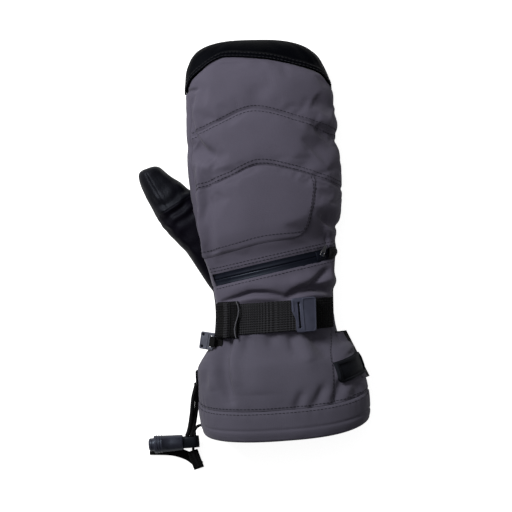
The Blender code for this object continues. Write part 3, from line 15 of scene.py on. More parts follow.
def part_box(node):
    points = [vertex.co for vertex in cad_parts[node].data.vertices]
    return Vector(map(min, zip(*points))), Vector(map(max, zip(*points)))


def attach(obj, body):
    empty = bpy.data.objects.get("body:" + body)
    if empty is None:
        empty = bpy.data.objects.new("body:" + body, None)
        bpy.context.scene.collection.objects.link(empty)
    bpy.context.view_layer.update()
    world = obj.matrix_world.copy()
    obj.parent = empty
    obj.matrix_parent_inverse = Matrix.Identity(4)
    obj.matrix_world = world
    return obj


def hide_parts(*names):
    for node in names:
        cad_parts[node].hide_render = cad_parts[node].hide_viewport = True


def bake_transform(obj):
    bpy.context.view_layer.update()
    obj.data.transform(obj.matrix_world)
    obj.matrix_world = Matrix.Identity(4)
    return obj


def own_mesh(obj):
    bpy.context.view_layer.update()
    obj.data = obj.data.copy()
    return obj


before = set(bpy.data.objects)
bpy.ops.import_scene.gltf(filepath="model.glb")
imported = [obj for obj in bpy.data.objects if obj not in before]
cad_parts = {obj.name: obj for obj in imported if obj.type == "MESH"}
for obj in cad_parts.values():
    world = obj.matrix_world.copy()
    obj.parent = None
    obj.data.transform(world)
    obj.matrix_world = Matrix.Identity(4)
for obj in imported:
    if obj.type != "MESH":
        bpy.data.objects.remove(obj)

scene = bpy.context.scene
UP = Vector((0.0, 0.0, 1.0))
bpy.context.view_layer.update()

# %% [markdown]
# The photograph looks straight down on the mitten, which is turned a little on the table. A long lens
# from far above keeps the cuff and the fingers at the same scale. The mitten's place in the picture was
# measured once, and the camera is set from those few sizes.

# %% Camera
PHOTO_TURN = radians(4.4)
PHOTO_WIDTH = 0.4096
PHOTO_MIDDLE = Vector((-0.0073, -0.0323, 0.025))
CAMERA_DISTANCE = 1.5

lens = bpy.data.cameras.new("camera")
lens.lens = lens.sensor_width * CAMERA_DISTANCE / PHOTO_WIDTH
camera = bpy.data.objects.new("camera", lens)
camera.location = PHOTO_MIDDLE + UP * CAMERA_DISTANCE
camera.rotation_euler = (0.0, 0.0, -PHOTO_TURN)
scene.collection.objects.link(camera)
scene.camera = camera
print("lens:", round(lens.lens, 1), "mm")

# %% [markdown]
# The light is one soft lamp beyond the fingertips on the thumb's side and a weaker, larger one overhead, so
# that the right-hand edge falls off into shade as it does in the photograph. The floor and the world look
# white to the camera, but only light the mitten at a low level, so that black leather stays black.

# %% Light and world
KEY_LIGHT = ("key", (-0.66, 0.68, 0.85), 0.45, 14.0)
FILL_LIGHT = ("fill", (-0.05, 0.20, 1.60), 0.9, 2.4)
AIM = Vector((0.0, -0.03, 0.03))
WORLD_LEVEL = 0.07
FLOOR_SIZE = 6.0
FLOOR_DROP = 0.0006
FLOOR_GLOW = 0.90
WHITE = (1.0, 1.0, 1.0, 1.0)
PAPER = (0.92, 0.92, 0.92, 1.0)


def add_lamp(name, place, size, power):
    lamp = bpy.data.lights.new(name, "AREA")
    lamp.size = size
    lamp.energy = power
    holder = bpy.data.objects.new(name, lamp)
    holder.location = place
    holder.rotation_euler = (AIM - Vector(place)).to_track_quat("-Z", "Y").to_euler()
    scene.collection.objects.link(holder)


def seen_by_camera(tree):
    """1 where a ray comes from the camera, 0 where it only carries light."""
    return tree.nodes.new("ShaderNodeLightPath").outputs["Is Camera Ray"]


def adjust(node, values):
    """Sets a node's inputs by their names."""
    for name, value in values.items():
        node.inputs[name].default_value = value


for lamp in (KEY_LIGHT, FILL_LIGHT):
    add_lamp(*lamp)

world = bpy.data.worlds.new("studio")
world.use_nodes = True
scene.world = world
sky = world.node_tree.nodes["Background"]
level = world.node_tree.nodes.new("ShaderNodeMapRange")
adjust(level, {"To Min": WORLD_LEVEL, "To Max": 1.0})
world.node_tree.links.new(seen_by_camera(world.node_tree), level.inputs["Value"])
world.node_tree.links.new(level.outputs["Result"], sky.inputs["Strength"])
adjust(sky, {"Color": WHITE})
print("two lamps and a white world")

# %% Floor
floor_shape = bmesh.new()
bmesh.ops.create_grid(floor_shape, x_segments=1, y_segments=1, size=FLOOR_SIZE / 2.0)
bmesh.ops.translate(floor_shape, vec=(0.0, 0.0, -FLOOR_DROP), verts=floor_shape.verts[:])
floor_mesh = bpy.data.meshes.new("floor")
floor_shape.to_mesh(floor_mesh)
floor_shape.free()
floor = bpy.data.objects.new("floor", floor_mesh)
scene.collection.objects.link(floor)
paper = bpy.data.materials.new("paper")
paper.use_nodes = True
paper_shader = paper.node_tree.nodes["Principled BSDF"]
adjust(paper_shader, {"Base Color": PAPER, "Roughness": 1.0, "Specular IOR Level": 0.0})
adjust(paper_shader, {"Emission Color": WHITE})
glow = paper.node_tree.nodes.new("ShaderNodeMath")
glow.operation = "MULTIPLY"
glow.inputs[1].default_value = FLOOR_GLOW
paper.node_tree.links.new(seen_by_camera(paper.node_tree), glow.inputs[0])
paper.node_tree.links.new(glow.outputs[0], paper_shader.inputs["Emission Strength"])
floor_mesh.materials.append(paper)
scene.view_settings.view_transform = "Standard"
print("floor of", FLOOR_SIZE, "m")

# %% [markdown]
# Every layer of the hand follows one surface: a rounded section that changes from the hem to the fingertips.
# The sizes are those of the solid model. A point on it is named by an angle round the section, a place along
# the hand and a height above the cloth, so that panels, seams and stitches all agree.

# %% Sections of the mitten
Section = namedtuple("Section", "place left right underside top")
SECTIONS = (
    Section(-0.1675, -0.0602, 0.0730, 0.0000, 0.0740),
    Section(-0.1460, -0.0612, 0.0735, 0.0000, 0.0725),
    Section(-0.1200, -0.0605, 0.0675, 0.0005, 0.0660),
    Section(-0.0970, -0.0460, 0.0510, 0.0025, 0.0540),
    Section(-0.0700, -0.0430, 0.0520, 0.0025, 0.0535),
    Section(-0.0450, -0.0455, 0.0550, 0.0010, 0.0550),
    Section(-0.0050, -0.0540, 0.0615, 0.0000, 0.0570),
    Section(0.0350, -0.0560, 0.0653, 0.0000, 0.0550),
    Section(0.0800, -0.0545, 0.0650, 0.0000, 0.0510),
    Section(0.1200, -0.0520, 0.0600, 0.0010, 0.0430),
)
HEM_PLACE, KNUCKLE_PLACE, TIP_SECTION = SECTIONS[0].place, SECTIONS[7].place, SECTIONS[9].place
FINGERTIP = 0.1410
TIP_ROUNDING = 0.0410
TIP_SKEW = 0.055
SEAM_SHARE = 0.42
PALM_PRESS = 0.0020
UPPER_POWER = 2.5
LOWER_POWER = 3.0
TIP_WIDTH_POWER = 2.8
TIP_THUMB_SIDE_POWER = 3.0
TIP_HEIGHT_POWER = 2.0
ZIP_CENTRE = (0.0046, -0.0419)
ZIP_ANGLE = radians(8.7)
ZIP_RADIUS = 0.0800
ZIP_HALF_LENGTH = 0.0450
ZIP_FLAT = 0.0120
ZIP_FADE = 0.0340
ZIP_END_FADE = 0.0080
ZIP_SIDE_FADE = radians(20.0)

print(len(SECTIONS), "sections")


# %% Helpers for smooth shapes
def mix(low, high, share):
    return low + (high - low) * share


def fade(value, inner, outer):
    """1 up to the inner value, 0 from the outer one on, and a smooth step between them."""
    share = min(max((outer - value) / (outer - inner), 0.0), 1.0)
    return share * share * (3.0 - 2.0 * share)


def bell(offset, width):
    """1 at no offset, dying away smoothly over a width."""
    return exp(-(offset / width) ** 2)


def ease(share):
    """Runs from 0 to 1 and slows down towards its end."""
    return sin(share * pi / 2.0)


def signed_power(value, power):
    return copysign(abs(value) ** power, value)


def smooth_curve(points):
    """A smooth function through (position, value) pairs that never overshoots them."""
    slopes = [(b[1] - a[1]) / (b[0] - a[0]) for a, b in zip(points, points[1:])]
    tangents = [slopes[0]]
    for before, after in zip(slopes, slopes[1:]):
        turning = before * after <= 0.0
        tangents.append(0.0 if turning else 2.0 * before * after / (before + after))
    tangents.append(slopes[-1])

    def value(position):
        position = min(max(position, points[0][0]), points[-1][0])
        index = next(i for i in range(len(slopes)) if position <= points[i + 1][0])
        (start, low), (end, high) = points[index], points[index + 1]
        step = end - start
        t = (position - start) / step
        ends = low * (1 + 2 * t) * (1 - t) ** 2 + high * t * t * (3 - 2 * t)
        bends = tangents[index] * t * (1 - t) ** 2 - tangents[index + 1] * t * t * (1 - t)
        return ends + step * bends

    return value


# %% A point of the surface
left_edge = smooth_curve([(s.place, s.left) for s in SECTIONS])
right_edge = smooth_curve([(s.place, s.right) for s in SECTIONS])
underside = smooth_curve([(s.place, s.underside) for s in SECTIONS])
top_line = smooth_curve([(s.place, s.top) for s in SECTIONS])
ZIP_CREST = top_line(ZIP_CENTRE[1])
ZIP_ALONG = Vector((cos(ZIP_ANGLE), sin(ZIP_ANGLE), 0.0))
ZIP_OVER = Vector((-sin(ZIP_ANGLE), cos(ZIP_ANGLE), 0.0))


def middle(place):
    return 0.5 * (left_edge(place) + right_edge(place))


def half_width(place):
    return 0.5 * (right_edge(place) - left_edge(place))


def share_across(angle):
    """How far across the back an angle lies, from -1 at the thumb's side to 1."""
    return signed_power(cos(angle), 2.0 / UPPER_POWER)


def angle_for(share):
    return acos(signed_power(min(max(share, -1.0), 1.0), UPPER_POWER / 2.0))


def angle_at(x, place, height=0.0):
    return angle_for((x - middle(place)) / (half_width(place) + height))


def tip_closing(place, depth, power):
    start = FINGERTIP - TIP_ROUNDING
    share = min(max((place - start) / (FINGERTIP - depth - start), 0.0), 1.0)
    return (1.0 - share ** power) ** (1.0 / power)


def skin_point(angle, place, depth):
    """The point at an angle and a place, a depth below the cloth (a negative depth lies above it)."""
    low, high = underside(place), top_line(place)
    waist = mix(low, high, SEAM_SHARE)
    upper = sin(angle) >= 0.0
    power = 2.0 / (UPPER_POWER if upper else LOWER_POWER)
    rise = high - waist - depth if upper else waist - low + PALM_PRESS - depth
    round_power = mix(TIP_WIDTH_POWER, TIP_THUMB_SIDE_POWER, fade(cos(angle), -0.5, 0.5))
    half = (half_width(place) - depth) * tip_closing(place, depth, round_power)
    across = half * signed_power(cos(angle), power)
    up = rise * tip_closing(place, depth, TIP_HEIGHT_POWER) * signed_power(sin(angle), power)
    skew = TIP_SKEW * fade(TIP_SECTION - place, 0.0, TIP_SECTION - KNUCKLE_PLACE)
    point = Vector((middle(place) + across, place - skew * across, max(waist + up, depth)))
    if upper:
        offset = point - Vector((*ZIP_CENTRE, 0.0))
        along = offset.dot(ZIP_ALONG)
        near = fade(abs(offset.dot(ZIP_OVER)), ZIP_FLAT, ZIP_FADE)
        near *= fade(abs(along), ZIP_HALF_LENGTH, ZIP_HALF_LENGTH + ZIP_END_FADE)
        near *= fade(ZIP_SIDE_FADE - min(angle, pi - angle), 0.0, ZIP_SIDE_FADE)
        reach = min(abs(along), ZIP_HALF_LENGTH + ZIP_END_FADE)
        arc = ZIP_CREST - ZIP_RADIUS + sqrt((ZIP_RADIUS - depth) ** 2 - reach ** 2)
        point.z = mix(point.z, arc, near)
    return point


print("back of the hand at", round(skin_point(pi / 2.0, 0.0, 0.0).z * 1000, 1), "mm")

# %% [markdown]
# Stuffed cloth creases where it bends and where a seam holds it in. The folds that the photograph shows are
# kept as short lines with a width and a height, a valley having a negative one. Each is a soft ripple
# that fades out at its ends, and every layer of the shell follows them.

# %% Folds in the cloth
Fold = namedtuple("Fold", "width height path")
FOLD_LIMIT = 0.0050
FOLD_REACH = 0.55
FOLDS = (
    Fold(0.0024, -0.0024, ((-0.047, 0.101), (-0.0508, 0.0842), (-0.049, 0.069), (-0.044, 0.055))),
    Fold(0.003, 0.0014, ((-0.043, 0.098), (-0.0462, 0.0842), (-0.0445, 0.07), (-0.0395, 0.059))),
    Fold(0.0014, -0.0016, ((-0.0535, 0.1024), (-0.0429, 0.103))),
    Fold(0.005, -0.006, ((-0.05, 0.058), (-0.042, 0.0515), (-0.0335, 0.047))),
    Fold(0.005, 0.0022, ((-0.043, 0.042), (-0.035, 0.04))),
    Fold(0.0024, 0.0032, ((-0.0455, 0.043), (-0.0462, 0.0238), (-0.0462, 0.00), (-0.0448, -0.03),
                          (-0.0415, -0.048))),
    Fold(0.0022, -0.002, ((-0.0515, 0.04), (-0.053, 0.02), (-0.0525, 0.00), (-0.0505, -0.028))),
    Fold(0.0036, -0.0022, ((-0.04, 0.033), (-0.041, 0.02), (-0.0408, 0.00), (-0.0392, -0.025))),
    Fold(0.0065, -0.0038, ((0.047, 0.088), (0.054, 0.083), (0.062, 0.077))),
    Fold(0.008, 0.0022, ((0.048, 0.072), (0.06, 0.069))),
    Fold(0.0036, -0.0058, ((0.048, 0.066), (0.056, 0.0605), (0.064, 0.055))),
    Fold(0.0085, -0.0036, ((0.064, 0.058), (0.054, 0.051), (0.044, 0.044))),
    Fold(0.01, 0.002, ((0.048, 0.028), (0.056, 0.006))),
    Fold(0.0036, -0.0058, ((0.0465, -0.004), (0.053, -0.0095), (0.06, -0.016))),
    Fold(0.006, 0.0022, ((0.043, 0.006), (0.06, -0.002))),
    Fold(0.0045, -0.002, ((0.048, -0.022), (0.06, -0.024))),
    Fold(0.0015, -0.0046, ((-0.0368, -0.0664), (-0.0225, -0.0629), (-0.0143, -0.0607), (-0.0023, -0.0612),
                           (0.0094, -0.0645), (0.0172, -0.0685))),
    Fold(0.0028, 0.0026, ((-0.024, -0.0668), (-0.01, -0.0652), (0.005, -0.0672))),
    Fold(0.005, 0.0018, ((-0.033, -0.059), (-0.013, -0.0545), (0.01, -0.0575))),
    Fold(0.0026, -0.008, ((0.0165, -0.0655), (0.025, -0.062), (0.035, -0.0608), (0.043, -0.0618),
                           (0.049, -0.0632))),
    Fold(0.0026, 0.003, ((0.0215, -0.0672), (0.034, -0.0662), (0.045, -0.0682))),
    Fold(0.005, 0.0036, ((0.018, -0.056), (0.033, -0.0535), (0.056, -0.0575))),
    Fold(0.0026, -0.0046, ((0.033, -0.0575), (0.041, -0.053), (0.049, -0.048))),
    Fold(0.0042, -0.0075, ((-0.033, -0.0945), (-0.039, -0.109), (-0.0392, -0.122), (-0.036, -0.142))),
    Fold(0.006, 0.003, ((-0.0455, -0.103), (-0.049, -0.118), (-0.0475, -0.135))),
    Fold(0.005, 0.002, ((-0.029, -0.10), (-0.031, -0.118), (-0.029, -0.133))),
    Fold(0.004, -0.0022, ((-0.049, -0.113), (-0.0545, -0.133))),
    Fold(0.0032, -0.0024, ((-0.019, -0.0945), (-0.0207, -0.106))),
    Fold(0.0036, -0.0022, ((-0.0009, -0.0945), (-0.0002, -0.104))),
    Fold(0.0034, -0.0026, ((0.0149, -0.096), (0.017, -0.109))),
    Fold(0.0048, -0.0036, ((0.031, -0.097), (0.037, -0.106), (0.044, -0.115))),
    Fold(0.006, 0.0026, ((0.024, -0.099), (0.028, -0.118))),
    Fold(0.0034, -0.002, ((0.0215, -0.14), (0.0137, -0.1535))),
    Fold(0.0038, -0.0026, ((0.0386, -0.137), (0.0288, -0.1527))),
    Fold(0.0038, -0.0026, ((0.052, -0.137), (0.0445, -0.1519))),
    Fold(0.004, -0.0024, ((0.066, -0.137), (0.0612, -0.1481))),
    Fold(0.0045, -0.0026, ((0.048, -0.138), (0.06, -0.1345), (0.069, -0.13))),
    Fold(0.0085, 0.0062, ((0.056, -0.102), (0.063, -0.108))),
    Fold(0.013, 0.0022, ((-0.012, -0.112), (-0.013, -0.14))),
)


def fold_reach(fold):
    """The box outside which a fold has died away."""
    far = 3.0 * fold.width
    across, along = [x for x, y in fold.path], [y for x, y in fold.path]
    return min(across) - far, max(across) + far, min(along) - far, max(along) + far


FOLD_BOXES = [fold_reach(fold) for fold in FOLDS]


def fold_height(x, y):
    """The height of all the folds at a place on the back."""
    total = 0.0
    for fold, (left, right, low, high) in zip(FOLDS, FOLD_BOXES):
        if not (left < x < right and low < y < high):
            continue
        best, share = inf, 0.0
        count = len(fold.path) - 1
        for index, ((ax, ay), (bx, by)) in enumerate(zip(fold.path, fold.path[1:])):
            run_x, run_y = bx - ax, by - ay
            t = ((x - ax) * run_x + (y - ay) * run_y) / (run_x * run_x + run_y * run_y)
            t = min(max(t, 0.0), 1.0)
            far = hypot(x - ax - run_x * t, y - ay - run_y * t)
            if far < best:
                best, share = far, (index + t) / count
        swell = bell(best, fold.width)
        total += fold.height * swell * (0.35 + 0.65 * (1.0 - (2.0 * share - 1.0) ** 4))
    return total if total > 0.0 else -FOLD_LIMIT * tanh(-total / FOLD_LIMIT)


def shell_point(angle, place, height):
    """A point on the outer cloth, with its folds, and a height above it."""
    below = max(-sin(angle), 0.0)
    if below >= FOLD_REACH:
        return skin_point(angle, place, -height)
    flat = skin_point(angle if below == 0.0 else -angle, place, 0.0)
    return skin_point(angle, place, -height - fold_height(flat.x, flat.y) * fade(below, 0.0, FOLD_REACH))


print(len(FOLDS), "folds")

# %% [markdown]
# The finishes are node materials on object coordinates, or on a cloth map in metres where a weave has to
# follow the piece. Softshell is a matt knit with a faint mottle and a soft sheen. Leather has a pebbled
# grain that comes from a cell pattern. Each has a colour that was judged against the photograph.

# %% Helpers for finishes
CLOTH_MAP = "cloth"


def new_finish(name, roughness):
    material = bpy.data.materials.new(name)
    material.use_nodes = True
    tree = material.node_tree
    shader = tree.nodes["Principled BSDF"]
    adjust(shader, {"Roughness": roughness})
    return material, tree, shader


def coordinates(tree, cloth=False):
    if cloth:
        source = tree.nodes.new("ShaderNodeUVMap")
        source.uv_map = CLOTH_MAP
        return source.outputs["UV"]
    return tree.nodes.new("ShaderNodeTexCoord").outputs["Object"]


def add_noise(tree, vector, scale, detail=2.0):
    texture = tree.nodes.new("ShaderNodeTexNoise")
    adjust(texture, {"Scale": scale, "Detail": detail})
    tree.links.new(vector, texture.inputs["Vector"])
    return texture.outputs["Fac"]


def add_grain(tree, vector, scale):
    texture = tree.nodes.new("ShaderNodeTexVoronoi")
    texture.feature = "SMOOTH_F1"
    adjust(texture, {"Scale": scale, "Smoothness": 0.35})
    tree.links.new(vector, texture.inputs["Vector"])
    return texture.outputs["Distance"]


def add_rows(tree, vector, period, direction):
    texture = tree.nodes.new("ShaderNodeTexWave")
    texture.bands_direction = direction
    adjust(texture, {"Scale": tau / (20.0 * period)})
    tree.links.new(vector, texture.inputs["Vector"])
    return texture.outputs["Fac"]


def combine(tree, operation, first, second):
    node = tree.nodes.new("ShaderNodeMath")
    node.operation = operation
    tree.links.new(first, node.inputs[0])
    if isinstance(second, float):
        node.inputs[1].default_value = second
    else:
        tree.links.new(second, node.inputs[1])
    return node.outputs[0]


def spread(tree, value, low, high):
    node = tree.nodes.new("ShaderNodeMapRange")
    adjust(node, {"From Min": 0.3, "From Max": 0.7, "To Min": low, "To Max": high})
    tree.links.new(value, node.inputs["Value"])
    return node.outputs["Result"]


def shades(tree, value, dark, light):
    node = tree.nodes.new("ShaderNodeMix")
    node.data_type = "RGBA"
    node.inputs["A"].default_value = (*dark, 1.0)
    node.inputs["B"].default_value = (*light, 1.0)
    tree.links.new(spread(tree, value, 0.0, 1.0), node.inputs["Factor"])
    return node.outputs["Result"]


def add_bump(tree, shader, height, distance, strength):
    node = tree.nodes.new("ShaderNodeBump")
    adjust(node, {"Distance": distance, "Strength": strength})
    tree.links.new(height, node.inputs["Height"])
    tree.links.new(node.outputs["Normal"], shader.inputs["Normal"])


def tint(colour, amount):
    return tuple(channel * amount for channel in colour)


def dye(tree, shader, value, colour, dark, light):
    """Lets a colour run from dark to light with a value."""
    tree.links.new(shades(tree, value, tint(colour, dark), tint(colour, light)), shader.inputs["Base Color"])


def vary(tree, shader, value, roughness, low, high):
    tree.links.new(spread(tree, value, roughness - low, roughness + high), shader.inputs["Roughness"])


# %% Kinds of finish
LEATHER_TINT = (0.78, 0.84, 1.0, 1.0)
GLOSS_TINT = (0.70, 0.82, 1.0, 1.0)


def softshell(name, colour):
    material, tree, shader = new_finish(name, 0.82)
    place = coordinates(tree)
    cloth = coordinates(tree, cloth=True)
    broad = add_noise(tree, place, 28.0, 3.0)
    fine = add_noise(tree, place, 1700.0, 1.0)
    mottle = combine(tree, "ADD", combine(tree, "MULTIPLY", broad, 0.7), combine(tree, "MULTIPLY", fine, 0.3))
    dye(tree, shader, mottle, colour, 0.90, 1.10)
    knit = combine(tree, "MULTIPLY", add_rows(tree, cloth, 0.0009, "X"), add_rows(tree, cloth, 0.0009, "Y"))
    add_bump(tree, shader, combine(tree, "ADD", knit, fine), 0.00012, 0.35)
    adjust(shader, {"Sheen Weight": 0.10, "Sheen Roughness": 0.5, "Specular IOR Level": 0.25})
    return material


def leather(name, colour, roughness, grain=1100.0, shine=0.05):
    material, tree, shader = new_finish(name, roughness)
    place = coordinates(tree)
    broad = add_noise(tree, place, 60.0, 3.0)
    pebbles = add_grain(tree, place, grain)
    pores = add_noise(tree, place, 2.6 * grain, 1.0)
    dye(tree, shader, broad, colour, 0.75, 1.35)
    vary(tree, shader, broad, roughness, 0.08, 0.10)
    grained = combine(tree, "ADD", pebbles, combine(tree, "MULTIPLY", pores, 0.3))
    add_bump(tree, shader, grained, 0.00022, 0.55)
    adjust(shader, {"Specular IOR Level": shine, "Specular Tint": LEATHER_TINT})
    return material


def woven(name, colour, period, roughness=0.75, dark=0.55, light=1.5, join="MULTIPLY"):
    material, tree, shader = new_finish(name, roughness)
    cloth = coordinates(tree, cloth=True)
    place = coordinates(tree)
    weave = combine(tree, join, add_rows(tree, cloth, period, "X"), add_rows(tree, cloth, period, "Y"))
    fuzz = add_noise(tree, place, 2400.0, 1.0)
    # The weave's rows also darken and lighten the colour: painted shade between the yarns and painted
    # highlight on their crests.
    dye(tree, shader, weave, colour, dark, light)
    add_bump(tree, shader, combine(tree, "ADD", weave, combine(tree, "MULTIPLY", fuzz, 0.5)), 0.00025, 0.6)
    adjust(shader, {"Sheen Weight": 0.02, "Specular IOR Level": 0.18})
    return material


def moulded(name, colour, roughness, speckle=1500.0, metallic=0.0, shine=0.5):
    material, tree, shader = new_finish(name, roughness)
    place = coordinates(tree)
    grain = add_noise(tree, place, speckle, 2.0)
    worn = add_noise(tree, place, 120.0, 3.0)
    dye(tree, shader, worn, colour, 0.88, 1.12)
    vary(tree, shader, worn, roughness, 0.05, 0.07)
    add_bump(tree, shader, grain, 0.00006, 0.3)
    adjust(shader, {"Metallic": metallic, "Specular IOR Level": shine, "Specular Tint": GLOSS_TINT})
    return material


def fleece(name, colour):
    material, tree, shader = new_finish(name, 0.95)
    place = coordinates(tree)
    tufts = add_grain(tree, place, 420.0)
    fuzz = add_noise(tree, place, 1500.0, 3.0)
    dye(tree, shader, fuzz, colour, 0.6, 1.5)
    add_bump(tree, shader, combine(tree, "ADD", tufts, fuzz), 0.0008, 0.8)
    adjust(shader, {"Sheen Weight": 0.35})
    return material


# %% Colours of the mitten
CLOTH_COLOUR = (0.096, 0.087, 0.122)
CUFF_COLOUR = (0.089, 0.083, 0.114)
LEATHER_COLOUR = (0.0010, 0.0012, 0.0022)
back_cloth = softshell("back_softshell", CLOTH_COLOUR)
cuff_cloth = softshell("cuff_softshell", CUFF_COLOUR)
cap_leather = leather("cap_leather", LEATHER_COLOUR, 0.48, shine=0.035)
palm_leather = leather("palm_leather", (0.0075, 0.0075, 0.0092), 0.58)
thumb_leather = leather("thumb_leather", (0.0036, 0.0036, 0.0058), 0.50, 900.0, 0.16)
soft_leather = leather("soft_thumb_leather", (0.0030, 0.0022, 0.0050), 0.50, 1500.0, 0.10)
# The strap's weave lightens its colour strongly on the yarn crests: painted highlight.
strap_weave = woven("strap_webbing", (0.0150, 0.0150, 0.0172), 0.0019, 0.75, 0.10, 1.5, "MAXIMUM")
dark_weave = woven("dark_tape", (0.0026, 0.0026, 0.0034), 0.0010)
cord_braid = woven("cord_braid", (0.0090, 0.0090, 0.0110), 0.0012)
laminate = moulded("zip_laminate", (0.0036, 0.0040, 0.0100), 0.44, 900.0, shine=0.36)
buckle_plastic = moulded("buckle_plastic", (0.062, 0.064, 0.097), 0.42)
clip_plastic = moulded("clip_plastic", (0.095, 0.096, 0.122), 0.48)
label_rubber = moulded("label_rubber", (0.0055, 0.0058, 0.0078), 0.55, shine=0.14)
eye_plastic = moulded("eye_plastic", (0.0040, 0.0042, 0.0058), 0.45, shine=0.2)
lock_plastic = moulded("lock_plastic", (0.028, 0.029, 0.043), 0.36)
zip_metal = moulded("zip_metal", (0.30, 0.30, 0.32), 0.34, 900.0, 1.0)
eyelet_metal = moulded("eyelet_metal", (0.05, 0.05, 0.06), 0.35, 900.0, 1.0)
lining_fleece = fleece("lining_fleece", (0.020, 0.020, 0.023))
back_thread = woven("back_thread", tint(CLOTH_COLOUR, 0.60), 0.0004)
cuff_thread = woven("cuff_thread", tint(CUFF_COLOUR, 0.55), 0.0004)
black_thread = woven("black_thread", (0.034, 0.034, 0.042), 0.0004)
# A pale finish for the thin tube along the strap cover's edge: a painted highlight.
painted_edge_highlight = woven("painted_edge_highlight", (0.15, 0.15, 0.17), 0.0005)
print(len(bpy.data.materials), "finishes")

# %% [markdown]
# A sewn panel starts as a flat grid, and a function moves each of its points onto the mitten. The cloth map
# keeps its size in metres, so that the knit has the same scale on every panel. Rows lie closer together
# near the edges, because the cloth rolls down into the seams there. Solidify then gives the cloth its
# thickness.

# %% Helpers for sewn pieces
CLOTH_THICKNESS = 0.0010
EDGE_CROWDING = 0.55
MERGE = 1e-6


def crowd(share):
    """Moves evenly spaced rows closer to both edges."""
    return share - EDGE_CROWDING * sin(tau * share) / (tau)


def away_from_axis(point):
    """The way out of the mitten at a point of its shell."""
    place = min(max(point.y, HEM_PLACE), TIP_SECTION)
    waist = mix(underside(place), top_line(place), SEAM_SHARE)
    return point - Vector((middle(place), place, waist))


def upwards(point):
    """The way out of a tape that lies level."""
    return UP


def piece(name, shape, finish, body, slot, stands_for=()):
    """Makes a bmesh a piece of the mitten: it takes a finish, rides on a body and stands for some solids."""
    mesh = bpy.data.meshes.new(name)
    shape.to_mesh(mesh)
    shape.free()
    mesh.shade_smooth()
    mesh.materials.append(finish)
    made = bpy.data.objects.new(name, mesh)
    scene.collection.objects.link(made)
    if stands_for:
        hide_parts(*stands_for)
    if body:
        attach(made, body)
    return made


def face_out(shape):
    bmesh.ops.recalc_face_normals(shape, faces=shape.faces[:])


def merge(shape):
    bmesh.ops.remove_doubles(shape, verts=shape.verts[:], dist=MERGE)
    face_out(shape)


def bent_grid(columns, rows, place, outside=away_from_axis):
    """A grid whose points are moved by place(u, v), facing outwards, with a cloth map in metres."""
    shape = bmesh.new()
    bmesh.ops.create_grid(shape, x_segments=columns, y_segments=rows, size=0.5)
    bmesh.ops.translate(shape, vec=(0.5, 0.5, 0.0), verts=shape.verts[:])
    steps = [step / 24 for step in range(25)]
    across = [place(step, 0.5) for step in steps]
    along = [place(0.5, step) for step in steps]
    width = sum((b - a).length for a, b in zip(across, across[1:]))
    length = sum((b - a).length for a, b in zip(along, along[1:]))
    cloth = shape.loops.layers.uv.new(CLOTH_MAP)
    for face in shape.faces:
        for loop in face.loops:
            loop[cloth].uv = (loop.vert.co.x * width, loop.vert.co.y * length)
    for vertex in shape.verts:
        vertex.co = place(vertex.co.x, vertex.co.y)
    merge(shape)
    shape.normal_update()
    facing = sum(face.normal.dot(outside(face.calc_center_median())) * face.calc_area()
                 for face in shape.faces)
    if facing < 0.0:
        bmesh.ops.reverse_faces(shape, faces=shape.faces[:])
    return shape


def sewn(name, shape, finish, slot, stands_for=(), thickness=CLOTH_THICKNESS, body="hand"):
    """A piece with a thickness, which goes inwards from its outer face."""
    made = piece(name, shape, finish, body, slot, stands_for)
    solid = made.modifiers.new("thickness", "SOLIDIFY")
    solid.thickness = thickness
    solid.offset = -1.0
    return made


# %% [markdown]
# The back of the hand is cut into panels by two arched seams, with a zipped pocket below them. Each panel
# is puffed by the padding under it: it crowns between its seams and dips where they hold it down. A
# narrow side strip runs down the thumb's side, from the fingertip cap to the zip.

# %% Seams of the back
SEAM_DIP = 0.00035
SEAM_ROLL = 0.0014
PANEL_CROWN = 0.0014
UNEVEN_RISE = 0.0007
GATHER_RISE = 0.0005
GATHER_REACH = 0.0060
SIDE_STRIP = radians(160.0)
CAP_SEAM = ((-1.0, 0.0980), (-0.88, 0.1105), (-0.45, 0.1258), (0.10, 0.1238), (0.65, 0.1168),
            (0.90, 0.1105), (1.0, 0.0995))
FINGER_SEAM = ((-1.0, 0.0640), (-0.60, 0.0735), (-0.10, 0.0835), (0.50, 0.0735), (1.0, 0.0615))
KNUCKLE_SEAM = ((-1.0, 0.0200), (-0.50, 0.0295), (-0.06, 0.0385), (0.35, 0.0325), (1.0, 0.0160))
WRIST_SEAM = -0.0830
ZIP_WINDOW = 0.0092
cap_seam = smooth_curve(CAP_SEAM)
finger_seam = smooth_curve(FINGER_SEAM)
knuckle_seam = smooth_curve(KNUCKLE_SEAM)


def zip_line(share, offset):
    """Where a line along the zip crosses a share of the back."""
    x = middle(ZIP_CENTRE[1]) + half_width(ZIP_CENTRE[1]) * share
    return ZIP_CENTRE[1] + tan(ZIP_ANGLE) * (x - ZIP_CENTRE[0]) + offset / cos(ZIP_ANGLE)


def zip_top(share):
    return zip_line(share, ZIP_WINDOW / 2.0)


def zip_bottom(share):
    return zip_line(share, -ZIP_WINDOW / 2.0)


def wrist_seam(share):
    return WRIST_SEAM


def bulge(u, v):
    return (1.0 - (2.0 * u - 1.0) ** 4) * (1.0 - (2.0 * v - 1.0) ** 2)


def seam_dip(distance):
    return SEAM_DIP * bell(distance, SEAM_ROLL)


def unevenness(angle, place, edge):
    """Padding is never even, and a seam gathers the cloth beside it a little."""
    spot = Vector((share_across(angle) * 2.6, place * 45.0, 5.0))
    gathers = noise.noise(Vector((share_across(angle) * 11.0, place * 130.0, 9.0)))
    near = exp(-edge / GATHER_REACH)
    return UNEVEN_RISE * noise.noise(spot) * (1.0 - near) + GATHER_RISE * gathers * near


